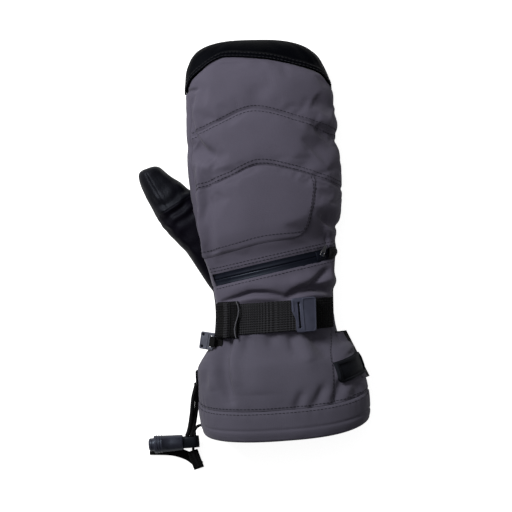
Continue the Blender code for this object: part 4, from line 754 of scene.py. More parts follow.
def back_panel(name, columns, rows, angles, low, high, crown, stands_for):
    width = abs(angles[1] - angles[0]) * half_width(0.0)

    def place(u, v):
        u, v = crowd(u), crowd(v)
        angle = mix(angles[0], angles[1], u)
        share = share_across(angle)
        start, end = low(share), high(share)
        y = mix(start, end, v)
        edge = min(min(v, 1.0 - v) * (end - start), min(u, 1.0 - u) * width)
        puff = crown * bulge(u, v) + padding(angle, y)
        return shell_point(angle, y, puff - seam_dip(edge) + unevenness(angle, y, edge))

    made = sewn(name, bent_grid(columns, rows, place), back_cloth, "softshell", stands_for)
    return made


# %% [markdown]
# What padding does to cloth is better found by simulation than drawn. The back is blown up as one loose sheet
# that is held along its seams, with no gravity. Its rise is capped and kept on a grid. The panels and the
# pocket both read it from there, so that they stay together.

# %% Padding by simulation
PADDING_COLUMNS, PADDING_ROWS = 72, 84
PADDING_PRESSURE = 4.0
PADDING_SLACK = 0.018
PADDING_FRAMES = 20
PADDING_BENDING = 3.0
PADDING_CAP = 0.0016
PADDING_CALM = (0.005, 0.016)
ZIP_CALM = 0.0006
PADDING_SINK = 0.0005
SEAM_HOLD = 0.0012


def padding_spot(u, v):
    angle = mix(0.0, SIDE_STRIP, u)
    share = share_across(angle)
    return angle, mix(zip_top(share), cap_seam(share), v)


def held(u, v):
    """Whether a seam holds the cloth down here."""
    angle, place = padding_spot(u, v)
    share = share_across(angle)
    to_seam = min(abs(place - finger_seam(share)), abs(place - knuckle_seam(share)))
    return min(u, 1.0 - u, v, 1.0 - v) < 0.01 or to_seam < SEAM_HOLD


def blown_up():
    """The rise of the padded back, by column and row."""
    shape = bmesh.new()
    bmesh.ops.create_grid(shape, x_segments=PADDING_COLUMNS, y_segments=PADDING_ROWS, size=0.5)
    marks = [(vertex.co.x + 0.5, vertex.co.y + 0.5) for vertex in shape.verts]
    for vertex, mark in zip(shape.verts, marks):
        vertex.co = shell_point(*padding_spot(*mark), 0.0)
    face_out(shape)
    shape.normal_update()
    if sum(face.normal.z for face in shape.faces) < 0.0:
        bmesh.ops.reverse_faces(shape, faces=shape.faces[:])
    mesh = bpy.data.meshes.new("padding")
    shape.to_mesh(mesh)
    shape.free()
    sheet = bpy.data.objects.new("padding", mesh)
    scene.collection.objects.link(sheet)
    seams = sheet.vertex_groups.new(name="seams")
    seams.add([index for index, mark in enumerate(marks) if held(*mark)], 1.0, "REPLACE")
    cloth = sheet.modifiers.new("cloth", "CLOTH")
    cloth.settings.quality = 6
    cloth.settings.mass = 0.15
    cloth.settings.bending_stiffness = PADDING_BENDING
    cloth.settings.use_pressure = True
    cloth.settings.uniform_pressure_force = PADDING_PRESSURE
    cloth.settings.shrink_min = -PADDING_SLACK
    cloth.settings.effector_weights.gravity = 0.0
    cloth.settings.vertex_group_mass = seams.name
    cloth.collision_settings.use_collision = False
    cloth.point_cache.frame_end = PADDING_FRAMES
    for step in range(1, PADDING_FRAMES + 1):
        scene.frame_set(step)
    settled = sheet.evaluated_get(bpy.context.evaluated_depsgraph_get()).data
    rise = {}
    for (u, v), before, after in zip(marks, mesh.vertices, settled.vertices):
        height = (after.co - before.co).dot(before.normal)
        spot = round(u * PADDING_COLUMNS), round(v * PADDING_ROWS)
        rise[spot] = min(max(height, -PADDING_SINK), PADDING_CAP)
    scene.frame_set(1)
    bpy.data.objects.remove(sheet, do_unlink=True)
    bpy.data.meshes.remove(mesh)
    return rise


# %% Read the padding
padding_rise = blown_up()


def padding(angle, place):
    """The rise of the padding under a point of the back."""
    share = share_across(angle)
    across = angle / SIDE_STRIP * PADDING_COLUMNS
    along = (place - zip_top(share)) / (cap_seam(share) - zip_top(share)) * PADDING_ROWS
    calm = fade(place - zip_top(share), *PADDING_CALM)
    if not (0.0 < across < PADDING_COLUMNS and 0.0 < along < PADDING_ROWS and padding_rise):
        return -ZIP_CALM * calm
    column, row = int(across), int(along)
    low = mix(padding_rise[column, row], padding_rise[column + 1, row], across - column)
    high = mix(padding_rise[column, row + 1], padding_rise[column + 1, row + 1], across - column)
    return mix(low, high, along - row) * (1.0 - calm) - ZIP_CALM * calm


heights = sorted(padding_rise.values()) or [0.0]
print("padding rises", [round(heights[(len(heights) - 1) * part // 4] * 1000, 2) for part in range(5)], "mm")

# %% Panels of the back
BACK = (0.0, SIDE_STRIP)
FLAT_CROWN = 0.8 * PANEL_CROWN
WRIST_CROWN, STRIP_CROWN = 0.0004, 0.0006
back_pieces = [back_panel(*row) for row in (
    ("finger_panel", 110, 60, BACK, finger_seam, cap_seam, PANEL_CROWN, ("finger_back_panel",)),
    ("knuckle_panel", 110, 56, BACK, knuckle_seam, finger_seam, PANEL_CROWN, ("knuckle_back_panel",)),
    ("outer_panel", 120, 80, BACK, zip_top, knuckle_seam, FLAT_CROWN, ("outer_side_panel",)),
    ("wrist_panel", 130, 56, (0.0, pi), wrist_seam, zip_bottom, WRIST_CROWN, ("wrist_back_panel",)),
    ("side_strip", 16, 150, (SIDE_STRIP, pi), zip_bottom, cap_seam, STRIP_CROWN, ("inner_side_gusset",)),
)]
print("back panels:", [made.name for made in back_pieces])

# %% [markdown]
# The pocket panel is a patch laid over the outer panel. Its lower right-hand corner is round, so the grid's
# corner is drawn in: a square corner turns into a quarter circle when each side is shortened by the other.

# %% Pocket panel
POCKET_RIGHT = (radians(63.0), radians(55.0))
POCKET_SEAM_SHARE = 0.20
POCKET_LIFT = 0.0007
POCKET_CORNER = 0.0130
POCKET_LENGTH = 0.0450
POCKET_EDGE = 0.0009
POCKET_SEAT = 0.0001


def round_corner(along, over, radius):
    """Moves a point given by its distances from two edges, so that the corner between them is round."""
    if along >= radius or over >= radius:
        return along, over
    x, y = 1.0 - along / radius, 1.0 - over / radius
    round_x, round_y = x * sqrt(1.0 - y * y / 2.0), y * sqrt(1.0 - x * x / 2.0)
    return radius * (1.0 - round_x), radius * (1.0 - round_y)


def pocket_right(v):
    """The angle of the pocket's right-hand edge, which leans."""
    return mix(POCKET_RIGHT[0], POCKET_RIGHT[1], v)


def pocket_width(v):
    return (SIDE_STRIP - pocket_right(v)) * half_width(0.0)


def pocket_bottom(share):
    return mix(zip_top(share), knuckle_seam(share), POCKET_SEAM_SHARE)


def pocket_place(u, v, height):
    """A point of the pocket panel: u from its right-hand edge, v from its lower edge."""
    width, right = pocket_width(v), pocket_right(v)
    share = share_across(mix(right, SIDE_STRIP, u))
    length = knuckle_seam(share) - pocket_bottom(share)
    along, over = round_corner(u * width, v * length, POCKET_CORNER)
    angle = mix(right, SIDE_STRIP, along / width)
    share = share_across(angle)
    y = mix(pocket_bottom(share), knuckle_seam(share), over / length)
    low, high = zip_top(share), knuckle_seam(share)
    below = (y - low) / (high - low)
    crown = FLAT_CROWN * bulge(angle / SIDE_STRIP, below)
    sides = min((1.0 - v) * length, (1.0 - u) * width)
    to_edge = min((y - low), (high - y))
    crown += padding(angle, y)
    return shell_point(angle, y, crown + height - seam_dip(sides) + unevenness(angle, y, to_edge))


def pocket_panel(u, v):
    u, v = crowd(u), crowd(v)
    edge = min(u * pocket_width(v), v * POCKET_LENGTH)
    return pocket_place(u, v, POCKET_LIFT * (1.0 - bell(edge, POCKET_EDGE)) + POCKET_SEAT)


pocket = sewn("pocket_panel", bent_grid(90, 64, pocket_panel), back_cloth, "softshell",
              ("hand_back_panel", "pocket_bag"), POCKET_LIFT)
back_pieces.append(pocket)
print("pocket panel laid on")

# %% [markdown]
# Black leather covers the fingertips and the palm. The cap's lower edge is turned under and stitched twice,
# which leaves a raised band above the seam. The palm is one piece of leather that is flat where it rests.

# %% Fingertip cap and palm
CAP_BAND = 0.0050
CAP_LIFT = 0.0011
CAP_SEAT = 0.0006
CAP_RIPPLE = 0.0005
PALM_RIPPLE = 0.0006
TIP_FADE = 0.0100
PADDING_END = -0.0850


def cap_place(u, v):
    angle = pi * crowd(u)
    start = cap_seam(share_across(angle))
    place = mix(start, FINGERTIP, ease(v))
    distance = place - start
    band = CAP_LIFT * fade(abs(distance - CAP_BAND / 2.0), CAP_BAND * 0.32, CAP_BAND * 0.62)
    band *= 1.0 - fade(sin(angle), 0.0, 0.35)
    edge = min(u, 1.0 - u) * pi * half_width(0.0)
    ripple = CAP_RIPPLE * noise.noise(Vector((angle * 6.0, place * 90.0, 2.0)))
    closing = fade(place, FINGERTIP - TIP_FADE, FINGERTIP)
    return skin_point(angle, place, -(band + ripple - seam_dip(edge) + CAP_SEAT) * closing)


def tip_row(start, v):
    bend, body = FINGERTIP - TIP_ROUNDING, 0.7
    if v < body:
        return mix(start, bend, v / body)
    return mix(bend, FINGERTIP, ease((v - body) / (1.0 - body)))


def palm_place(u, v):
    angle = -pi * crowd(u)
    place = tip_row(WRIST_SEAM, v)
    edge = min(u, 1.0 - u) * pi * half_width(0.0)
    ripple = PALM_RIPPLE * noise.noise(Vector((angle * 5.0, place * 70.0, 7.0))) * abs(sin(2.0 * angle))
    closing = fade(place, FINGERTIP - TIP_FADE, FINGERTIP)
    return shell_point(angle, place, (ripple - seam_dip(edge)) * closing)


cap = sewn("fingertip_leather", bent_grid(110, 48, cap_place), cap_leather, "leather", ("fingertip_cap",))
sewn("palm_leather_panel", bent_grid(110, 150, palm_place), palm_leather, "leather",
     ("palm_panel", "palm_insulation"))
back_pieces.append(cap)
print("leather cap and palm")

# %% [markdown]
# The thumb is a tapered leather tube with a flat underside, set at an angle to the hand. Its outer end is
# smooth leather, and a softer patch begins at the crease and rises into the hand.

# %% Thumb's surface
ThumbSection = namedtuple("ThumbSection", "distance left right height")
THUMB_SECTIONS = (
    ThumbSection(0.0000, 0.0076, 0.0090, 0.0240),
    ThumbSection(0.0120, 0.0120, 0.0126, 0.0265),
    ThumbSection(0.0220, 0.0132, 0.0172, 0.0290),
    ThumbSection(0.0370, 0.0147, 0.0220, 0.0315),
    ThumbSection(0.0510, 0.0134, 0.0250, 0.0325),
    ThumbSection(0.0760, 0.0092, 0.0250, 0.0310),
    ThumbSection(0.1000, 0.0092, 0.0220, 0.0260),
    ThumbSection(0.1120, 0.0084, 0.0200, 0.0250),
)
THUMB_TIP = Vector((-0.0885, 0.0420, 0.0))
THUMB_OUT = Vector((0.477, -0.879, 0.0)).normalized()
THUMB_SIDE = Vector((THUMB_OUT.y, -THUMB_OUT.x, 0.0))
THUMB_TIP_ROUNDING = 0.0062
THUMB_TIP_POWER = 3.4
THUMB_TIP_SKEW = 0.0018
THUMB_TIP_REACH = 0.0030
THUMB_TIP_RUN = 0.0300
THUMB_POWER = 2.5
THUMB_SEAM_SHARE = 0.46
THUMB_SEAM = 0.0350
THUMB_END = 0.1110
THUMB_LINING_END = 0.0700
THUMB_LINING_DEPTH = 0.0030
THUMB_LIFT = 0.85
THUMB_LIFT_RUN = 0.034
THUMB_SEAM_DIP = 0.0008
THUMB_RIDGE = 0.0013
WRINKLE_PLACE = 0.0400
WRINKLE_REACH = 0.0140
WRINKLE_PITCH = 0.0105
WRINKLE_WANDER = 0.0040
WRINKLE_DEPTH = 0.0015
LUMP_PLACE = 0.0450
LUMP_DEPTH = 0.0010
LUMP_FADE = (0.0200, 0.0450)
THUMB_RIDGE_FADE = (0.0280, 0.0400)
THUMB_RIDGE_ANGLE = radians(86.0)
THUMB_SEAM_ANGLE = radians(80.0)
thumb_left = smooth_curve([(s.distance, s.left) for s in THUMB_SECTIONS])
thumb_right = smooth_curve([(s.distance, s.right) for s in THUMB_SECTIONS])
thumb_height = smooth_curve([(s.distance, s.height) for s in THUMB_SECTIONS])


def thumb_point(angle, distance, depth):
    share = min(max(1.0 - (distance - depth) / THUMB_TIP_ROUNDING, 0.0), 1.0)
    closing = (1.0 - share ** THUMB_TIP_POWER) ** (1.0 / THUMB_TIP_POWER)
    height = thumb_height(distance)
    waist = height * THUMB_SEAM_SHARE
    outward = cos(angle)
    half = thumb_left(distance) if outward >= 0.0 else thumb_right(distance)
    lifted = 1.0 - THUMB_LIFT * fade(THUMB_END - distance, 0.0, THUMB_LIFT_RUN)
    rise = height - waist if sin(angle) >= 0.0 else (waist + PALM_PRESS) * lifted
    power = 2.0 / THUMB_POWER
    side = (half - depth) * closing * signed_power(outward, power)
    up = (rise - depth) * closing * signed_power(sin(angle), power)
    reach = THUMB_TIP_REACH + THUMB_TIP_SKEW * closing * signed_power(outward, power)
    along = distance - reach * fade(distance, 0.0, THUMB_TIP_RUN)
    return THUMB_TIP + THUMB_OUT * along + THUMB_SIDE * side + UP * max(waist + up, max(depth, 0.0))


def round_noise(angle, scale, along):
    """Noise on a tube, without a break where its angle starts again."""
    return noise.noise(Vector((cos(angle) * scale, sin(angle) * scale, along)))


def thumb_wrinkle(angle, distance):
    """Creases round the crook of the thumb, deepest on the side of the hand."""
    near = bell(distance - WRINKLE_PLACE, WRINKLE_REACH)
    inside = 0.35 + 0.65 * fade(cos(angle), -0.6, 0.7)
    wander = WRINKLE_WANDER * round_noise(angle, 1.7, distance * 40.0)
    crease = sin((distance + wander) * tau / WRINKLE_PITCH)
    lumps = round_noise(angle, 2.2, distance * 130.0)
    upper = 0.35 + 0.65 * fade(-sin(angle), -0.75, 0.0)
    about = fade(abs(distance - LUMP_PLACE), *LUMP_FADE)
    return (near * inside * WRINKLE_DEPTH * crease + LUMP_DEPTH * lumps * about) * upper


def thumb_part(start, end, tip):
    def place(u, v):
        angle = tau * u
        distance = mix(end, start, ease(v) if tip else v)
        closing = fade(THUMB_TIP_ROUNDING - distance, 0.0, THUMB_TIP_ROUNDING)
        seam = seam_dip(abs(distance - THUMB_SEAM)) * 0.9
        along = fade(distance, *THUMB_RIDGE_FADE)
        ridge = THUMB_RIDGE * exp(-abs(angle - THUMB_RIDGE_ANGLE) / 0.22) * along
        side_seam = THUMB_SEAM_DIP * bell(angle - THUMB_SEAM_ANGLE, 0.04) * along
        height = thumb_wrinkle(angle, distance) - seam + ridge * closing - side_seam * closing
        return thumb_point(angle, distance, -height * closing)

    return place


def away_from_thumb(point):
    along = (point - THUMB_TIP).dot(THUMB_OUT)
    return point - (THUMB_TIP + THUMB_OUT * along + UP * thumb_height(along) * THUMB_SEAM_SHARE)


# %% Thumb pieces
def add_thumb(name, start, end, tip, rows, finish, slot, stands_for, depth=0.0):
    place = thumb_part(start, end, tip)

    def inner(u, v):
        distance = mix(end, start + depth, ease(v))
        return thumb_point(tau * u, distance, depth)

    shape = bent_grid(96, rows, inner if depth else place, away_from_thumb)
    made = sewn(name, shape, finish, slot, stands_for, body=None)
    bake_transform(made)
    return made


thumb_pieces = [add_thumb(*row) for row in (
    ("thumb_tip_leather", 0.0, THUMB_SEAM, True, 50, thumb_leather, "leather", ("thumb_tip_shell",)),
    ("thumb_base_leather", THUMB_SEAM, THUMB_END, False, 64, soft_leather, "leather", ("thumb_base_shell",)),
    ("thumb_fleece", 0.0, THUMB_LINING_END, True, 40, lining_fleece, "fleece",
     ("thumb_tip_lining", "thumb_base_lining"), THUMB_LINING_DEPTH),
)]
print("thumb:", [made.name for made in thumb_pieces])

# %% [markdown]
# The pocket's zip is a laminated one: two glossy tapes meet in a fine slit and hide the teeth. It lies a
# little below the cloth, along an arc, so that its slider can run on it. The slider carries an arch, and a
# metal pull hangs in the arch on a cross bar.

# %% Zip tapes
TAPE_DEPTH = 0.0018
TAPE_THICKNESS = 0.0006
TAPE_WIDTH = 0.0064
TAPE_TUCK = 0.0022
ZIP_SLIT = 0.00016
ZIP_LIP = 0.0001
ZIP_ROLL = 0.0003
ZIP_SWELL = 0.0004


def zip_point(turn, across, depth):
    centre = Vector((*ZIP_CENTRE, ZIP_CREST - ZIP_RADIUS))
    out = sin(turn) * ZIP_ALONG + cos(turn) * UP
    return centre + (ZIP_RADIUS - depth) * out + across * ZIP_OVER


def zip_tape(side):
    reach = asin((ZIP_HALF_LENGTH + TAPE_TUCK) / ZIP_RADIUS)

    def place(u, v):
        across = mix(ZIP_SLIT / 2.0, TAPE_WIDTH, v)
        lip = ZIP_LIP * bell(across - 0.0010, 0.0007)
        roll = ZIP_ROLL * bell(across - ZIP_SLIT / 2.0, 0.0003)
        edge = ZIP_ROLL * bell(across - ZIP_WINDOW / 2.0, 0.0012)
        depth = TAPE_DEPTH - ZIP_SWELL - lip + roll - edge
        return zip_point(mix(-reach, reach, u), side * across, depth)

    return place


for name, side in (("upper", 1.0), ("lower", -1.0)):
    stands_for = ("zip_tape_" + name, "zip_teeth_" + name)
    shape = bent_grid(120, 22, zip_tape(side))
    sewn("zip_laminate_" + name, shape, laminate, "laminate", stands_for, TAPE_THICKNESS)
print("zip tapes meet in a slit of", ZIP_SLIT * 1000, "mm")

# %% Sizes of the slider and the pull
ZIP_CLEARANCE = 0.0003
SLIDER_LENGTH = 0.0080
SLIDER_WIDTH = 0.0070
SLIDER_PLATE = 0.0012
SLIDER_REST = 0.0400
BRIDGE_LENGTH = 0.0034
BRIDGE_HEIGHT = 0.0030
BRIDGE_BAR = 0.0008
PULL_TURN = radians(50.0)
PULL_LENGTH = 0.0090
PULL_WIDTH = 0.0016
PULL_THICKNESS = 0.0008
PULL_BAR = 0.0005
PULL_WINDOW = 0.0010
PULL_FRAME = 0.0008
TAB_SWELL = 0.0018
TAB_SINK = 0.0004
TAB_GAP = 0.0002
SLIDER_TOP = -TAPE_DEPTH + ZIP_CLEARANCE + SLIDER_PLATE


def zip_frame(turn):
    """The frame at an angle along the zip: X along it, Y across it and Z out of the back."""
    out = sin(turn) * ZIP_ALONG + cos(turn) * UP
    along = cos(turn) * ZIP_ALONG - sin(turn) * UP
    rotation = Matrix((along, ZIP_OVER, out)).transposed().to_4x4()
    return Matrix.Translation(zip_point(turn, 0.0, 0.0)) @ rotation


# %% Helpers for fittings
def block(shape, low, high, bevel, taper=1.0):
    """Adds a box with rounded edges; taper narrows its far end."""
    size = Vector(high) - Vector(low)
    place = Matrix.Translation((Vector(high) + Vector(low)) / 2.0) @ Matrix.Diagonal((*size, 1.0))
    corners = bmesh.ops.create_cube(shape, size=1.0, matrix=place)["verts"]
    for corner in corners:
        if corner.co.x > (high[0] + low[0]) / 2.0:
            corner.co.y *= taper
    edges = list({edge for corner in corners for edge in corner.link_edges})
    bmesh.ops.bevel(shape, geom=corners + edges, offset=bevel, segments=3, profile=0.5, affect="EDGES",
                    material=-1)


def rod(shape, radius, length, place, segments=12):
    """Adds a round rod along the Z axis of its place."""
    bmesh.ops.create_cone(shape, cap_ends=True, segments=segments, radius1=radius, radius2=radius,
                          depth=length, matrix=place)


def move(shape, place):
    bmesh.ops.transform(shape, matrix=place, verts=shape.verts[:])


def ring(shape, radius, wire, turn, place, steps=24):
    """Adds a round wire bent into an arc or a ring about the Y axis of its place."""
    circle = bmesh.ops.create_circle(shape, segments=12, radius=wire,
                                     matrix=Matrix.Translation((radius, 0.0, 0.0)))["verts"]
    edges = list({edge for corner in circle for edge in corner.link_edges})
    whole = abs(turn - tau) < MERGE
    before = set(shape.verts) - set(circle)
    bmesh.ops.spin(shape, geom=circle + edges, cent=(0.0, 0.0, 0.0), axis=(0.0, 1.0, 0.0), angle=-turn,
                   steps=steps, use_merge=whole)
    made = [corner for corner in shape.verts if corner not in before]
    bmesh.ops.transform(shape, matrix=place, verts=made)


def closed(shape):
    """Merges doubles, fills open rims and turns all faces outwards."""
    bmesh.ops.remove_doubles(shape, verts=shape.verts[:], dist=MERGE)
    rims = [edge for edge in shape.edges if edge.is_boundary]
    if rims:
        bmesh.ops.holes_fill(shape, edges=rims)
    face_out(shape)
    return shape


# %% Zip slider
slider_frame = zip_frame(asin(SLIDER_REST / ZIP_RADIUS))
shape = bmesh.new()
half_length, half = SLIDER_LENGTH / 2.0, SLIDER_WIDTH / 2.0
block(shape, (-half_length, -half, SLIDER_TOP - SLIDER_PLATE), (half_length, half, SLIDER_TOP), 0.0004, 0.72)
turned = Matrix.Rotation(PULL_TURN, 4, "Z")
bow = (BRIDGE_LENGTH - BRIDGE_BAR) / 2.0
leg = BRIDGE_HEIGHT - BRIDGE_BAR / 2.0 - bow
ring(shape, bow, BRIDGE_BAR / 2.0, pi, Matrix.Translation((0.0, 0.0, SLIDER_TOP + leg)) @ turned)
for side in (-1.0, 1.0):
    foot = turned @ Vector((side * bow, 0.0, 0.0))
    low = Vector((foot.x, foot.y, SLIDER_TOP + leg / 2.0))
    rod(shape, BRIDGE_BAR / 2.0, leg + BRIDGE_BAR, Matrix.Translation(low))
move(shape, slider_frame)
face_out(shape)
piece("slider", shape, laminate, "slider", "metal", ("zip_slider",))
print("slider", SLIDER_LENGTH * 1000, "mm long")


# %% Helpers for flat plates
def rounded(corners, radius, steps=5):
    """An outline with each corner rounded off."""
    outline = []
    for index, corner in enumerate(corners):
        corner = Vector(corner)
        before = Vector(corners[index - 1])
        after = Vector(corners[(index + 1) % len(corners)])
        start = corner + (before - corner).normalized() * radius
        end = corner + (after - corner).normalized() * radius
        for step in range(steps + 1):
            t = step / steps
            outline.append(tuple(start * (1 - t) ** 2 + corner * 2 * t * (1 - t) + end * t * t))
    return outline


def rectangle(low, high):
    return [(low[0], low[1]), (high[0], low[1]), (high[0], high[1]), (low[0], high[1])]


def plate(shape, outlines, low, high, bevel, place=Matrix.Identity(4)):
    """Adds a flat plate with rounded rims: the first outline is its rim and the others are holes."""
    curve = bpy.data.curves.new("plate", "CURVE")
    curve.dimensions = "2D"
    curve.fill_mode = "BOTH"
    curve.extrude = 0.5 * (high - low) - bevel
    curve.bevel_depth = bevel
    curve.bevel_resolution = 2
    curve.offset = -bevel
    for outline in outlines:
        spline = curve.splines.new("POLY")
        spline.use_cyclic_u = True
        spline.points.add(len(outline) - 1)
        for point, corner in zip(spline.points, outline):
            point.co = (*corner, 0.0, 1.0)
    holder = bpy.data.objects.new("plate", curve)
    scene.collection.objects.link(holder)
    mesh = bpy.data.meshes.new_from_object(holder.evaluated_get(bpy.context.evaluated_depsgraph_get()))
    bpy.data.objects.remove(holder, do_unlink=True)
    mesh.transform(place @ Matrix.Translation((0.0, 0.0, 0.5 * (low + high))))
    shape.from_mesh(mesh)
    bpy.data.meshes.remove(mesh)
    merge(shape)


# %% Zip pull
bar, window = PULL_BAR, PULL_WINDOW
pull_height = (BRIDGE_HEIGHT - BRIDGE_BAR) / 2.0
pull_reach = hypot(BRIDGE_LENGTH / 2.0, BRIDGE_HEIGHT - pull_height) + ZIP_CLEARANCE
pull_ring, stem = window + PULL_FRAME, PULL_WIDTH / 2.0
shape = bmesh.new()
rim = rounded([(-bar, -pull_ring), (pull_reach, -pull_ring), (PULL_LENGTH, -stem), (PULL_LENGTH, stem),
               (pull_reach, pull_ring), (-bar, pull_ring)], 0.0007)
hole = rounded(rectangle((bar, -window), (pull_reach, window)), 0.0005)
plate(shape, (rim, hole), -PULL_THICKNESS / 2.0, PULL_THICKNESS / 2.0, 0.0002,
      slider_frame @ Matrix.Translation((0.0, 0.0, SLIDER_TOP + pull_height)) @ turned)
piece("pull", shape, zip_metal, "zip_pull", "metal", ("zip_pull",))
print("pull", PULL_LENGTH * 1000, "mm long")

# %% Zip's end tab
tab_start = angle_for((ZIP_CENTRE[0] + ZIP_HALF_LENGTH - middle(ZIP_CENTRE[1])) / half_width(ZIP_CENTRE[1]))


def end_tab(u, v):
    """The folded tab that closes the zip's window at the little finger's side."""
    angle = mix(0.0, tab_start - 0.01, u)
    share = share_across(angle)
    y = mix(zip_bottom(share) + TAB_GAP, zip_top(share) - TAB_GAP, v)
    return skin_point(angle, y, TAB_SINK - TAB_SWELL * bulge(u, v) ** 0.5 * sin(pi * v))


sewn("zip_end_fold", bent_grid(24, 16, end_tab), dark_weave, "webbing", ("zip_end_tab",))
print("end fold")

# %% [markdown]
# The wrist strap is woven webbing. From its sewn end, under a folded cover, it runs over the back of the
# wrist, turns round a bar of the buckle and tucks back under itself. The weave is modelled as real bumps,
# with one for each crossing of the yarns, because the strap is near enough to the eye for them to show.

# %% Sizes of the strap
STRAP_CENTRE = -0.0810
STRAP_WIDTH = 0.0240
STRAP_THICKNESS = 0.0012
STRAP_SEAT = 0.0007
STRAP_LEFT = -0.0388
STRAP_COVER_RIGHT = -0.0255
STRAP_COVER_WIDTH = 0.0290
TAIL_LEFT = 0.0000
STRAP_RISE = 0.0120
STRAP_RIGHT_SHARE = 0.935
BUCKLE_CENTRE = 0.0257
BUCKLE_BAR = 0.0010
LOCK_BAR_PLACE = 0.0006
ANCHOR_BAR_PLACE = 0.0070
WEBBING_CLEARANCE = 0.0003
LOOP_LEG = 0.0030
LOOP_TURN_IN = 0.0006
LOOP_END_GAP = 0.0018
LAYER_GAP = 0.0006
LOOP_INNER = BUCKLE_BAR + WEBBING_CLEARANCE
LOOP_OUTER = LOOP_INNER + STRAP_THICKNESS
LOOP_HEIGHT = STRAP_SEAT + LOOP_OUTER
PLATE_LOW = LOOP_HEIGHT + LOOP_OUTER + WEBBING_CLEARANCE
YARN = 0.0019
YARN_RISE = 0.00020
STRAP_ROUND = 0.0004
TANGENT_STEP = 0.01


def skin_frame(angle, place):
    """The frame on the skin: X to the right across the back, Y towards the fingers and Z out."""
    before = skin_point(angle + TANGENT_STEP, place, 0.0)
    across = (skin_point(angle - TANGENT_STEP, place, 0.0) - before).normalized()
    out = across.cross(Vector((0.0, 1.0, 0.0))).normalized()
    rotation = Matrix((across, out.cross(across), out)).transposed().to_4x4()
    return Matrix.Translation(skin_point(angle, place, 0.0)) @ rotation


def weave_height(along, across):
    """Bumps of a plain weave at a place on a tape, in metres along it and across it."""
    return YARN_RISE * (cos(tau * along / YARN) + cos(tau * across / YARN))


def strap_patch(name, angles, width, heights, columns, rows, stands_for, finish=strap_weave):
    half = width / 2.0
    length = (skin_point(angles[0], STRAP_CENTRE, 0.0) - skin_point(angles[1], STRAP_CENTRE, 0.0)).length

    def place(u, v):
        across = mix(-half, half, v)
        edge = min(v, 1.0 - v) * width
        round_edge = STRAP_ROUND * bell(edge, 0.0006)
        height = heights(u, v) + STRAP_THICKNESS + weave_height(u * length, across) - round_edge
        return skin_point(mix(angles[0], angles[1], u), STRAP_CENTRE + across, -height)

    return sewn(name, bent_grid(columns, rows, place), finish, "webbing", stands_for, STRAP_THICKNESS)


# %% Lay the strap
buckle_frame = skin_frame(angle_at(BUCKLE_CENTRE, STRAP_CENTRE), STRAP_CENTRE)
second_level = STRAP_SEAT + STRAP_THICKNESS + LAYER_GAP
top_leg = LOOP_HEIGHT + LOOP_INNER


def beside(x, height):
    """The angle at which a band of webbing at a height ends beside a loop."""
    return angle_at((buckle_frame @ Vector((x, 0.0, height))).x, STRAP_CENTRE, height)


strap_left = angle_at(STRAP_LEFT, STRAP_CENTRE)
loop_end = LOCK_BAR_PLACE - LOOP_LEG - LOOP_END_GAP / 3.0
strap_end = beside(loop_end, top_leg)
rise_start = angle_at(TAIL_LEFT - STRAP_RISE, STRAP_CENTRE)
tail_start = angle_at(TAIL_LEFT, STRAP_CENTRE)
climb = smooth_curve(((-strap_left, STRAP_SEAT), (-rise_start, STRAP_SEAT), (-tail_start, second_level),
                      (-strap_end, top_leg)))


def strap_height(u, v):
    return climb(-mix(strap_left, strap_end, u))


def seat_height(u, v):
    return STRAP_SEAT


strap_patch("strap_webbing", (strap_left, strap_end), STRAP_WIDTH, strap_height, 200, 62, ("wrist_strap",))
tail_angles = (tail_start, beside(loop_end, STRAP_SEAT))
strap_patch("strap_tail_webbing", tail_angles, STRAP_WIDTH, seat_height, 60, 50, ("strap_tail",))
anchor_end = ANCHOR_BAR_PLACE + LOOP_LEG + LOOP_END_GAP / 3.0
right_angles = (angle_for(STRAP_RIGHT_SHARE), beside(anchor_end, STRAP_SEAT))
strap_patch("right_webbing", right_angles, STRAP_WIDTH, seat_height, 60, 60, ("right_strap",), dark_weave)
print("strap of", round(STRAP_WIDTH * 1000), "mm webbing")

# %% [markdown]
# The sewn end of the strap is covered by a second piece of tape with a fold standing up along it. Along its
# free edge runs a thin, pale curved tube, which is a painted highlight on the tape's folded edge.

# %% Strap cover and loops
COVER_FOLD = (-0.0326, -0.0284)
COVER_FOLD_HEIGHT = 0.0024
COVER_FOLD_WIDTH = STRAP_COVER_WIDTH - 0.0020
COVER_LIP = 0.0010
cover_angles = (strap_left + 0.02, angle_at(STRAP_COVER_RIGHT + 0.002, STRAP_CENTRE))
fold_angles = tuple(angle_at(x, STRAP_CENTRE) for x in COVER_FOLD)


def cover_height(u, v):
    foot = STRAP_WIDTH / STRAP_COVER_WIDTH
    sides = mix(STRAP_SEAT, second_level, fade(abs(2.0 * v - 1.0), foot, 1.0))
    lip = COVER_LIP * bell(u - 1.0, 0.06)
    return sides + lip + 0.0002


def cover_fold_height(u, v):
    """A fold of the tape that stands up as a flat roll."""
    return second_level + COVER_FOLD_HEIGHT * (1.0 - (2.0 * u - 1.0) ** 4) + 0.0004


# The flat cover takes the darker tape finish and its standing fold the lighter strap webbing: painted shade
# in the valley beside the fold, painted highlight on its crest.
cover = strap_patch("strap_cover_tape", cover_angles, STRAP_COVER_WIDTH, cover_height, 96, 76,
                    ("strap_cover",), dark_weave)
strap_patch("strap_cover_fold", fold_angles, COVER_FOLD_WIDTH, cover_fold_height, 36, 76, ())


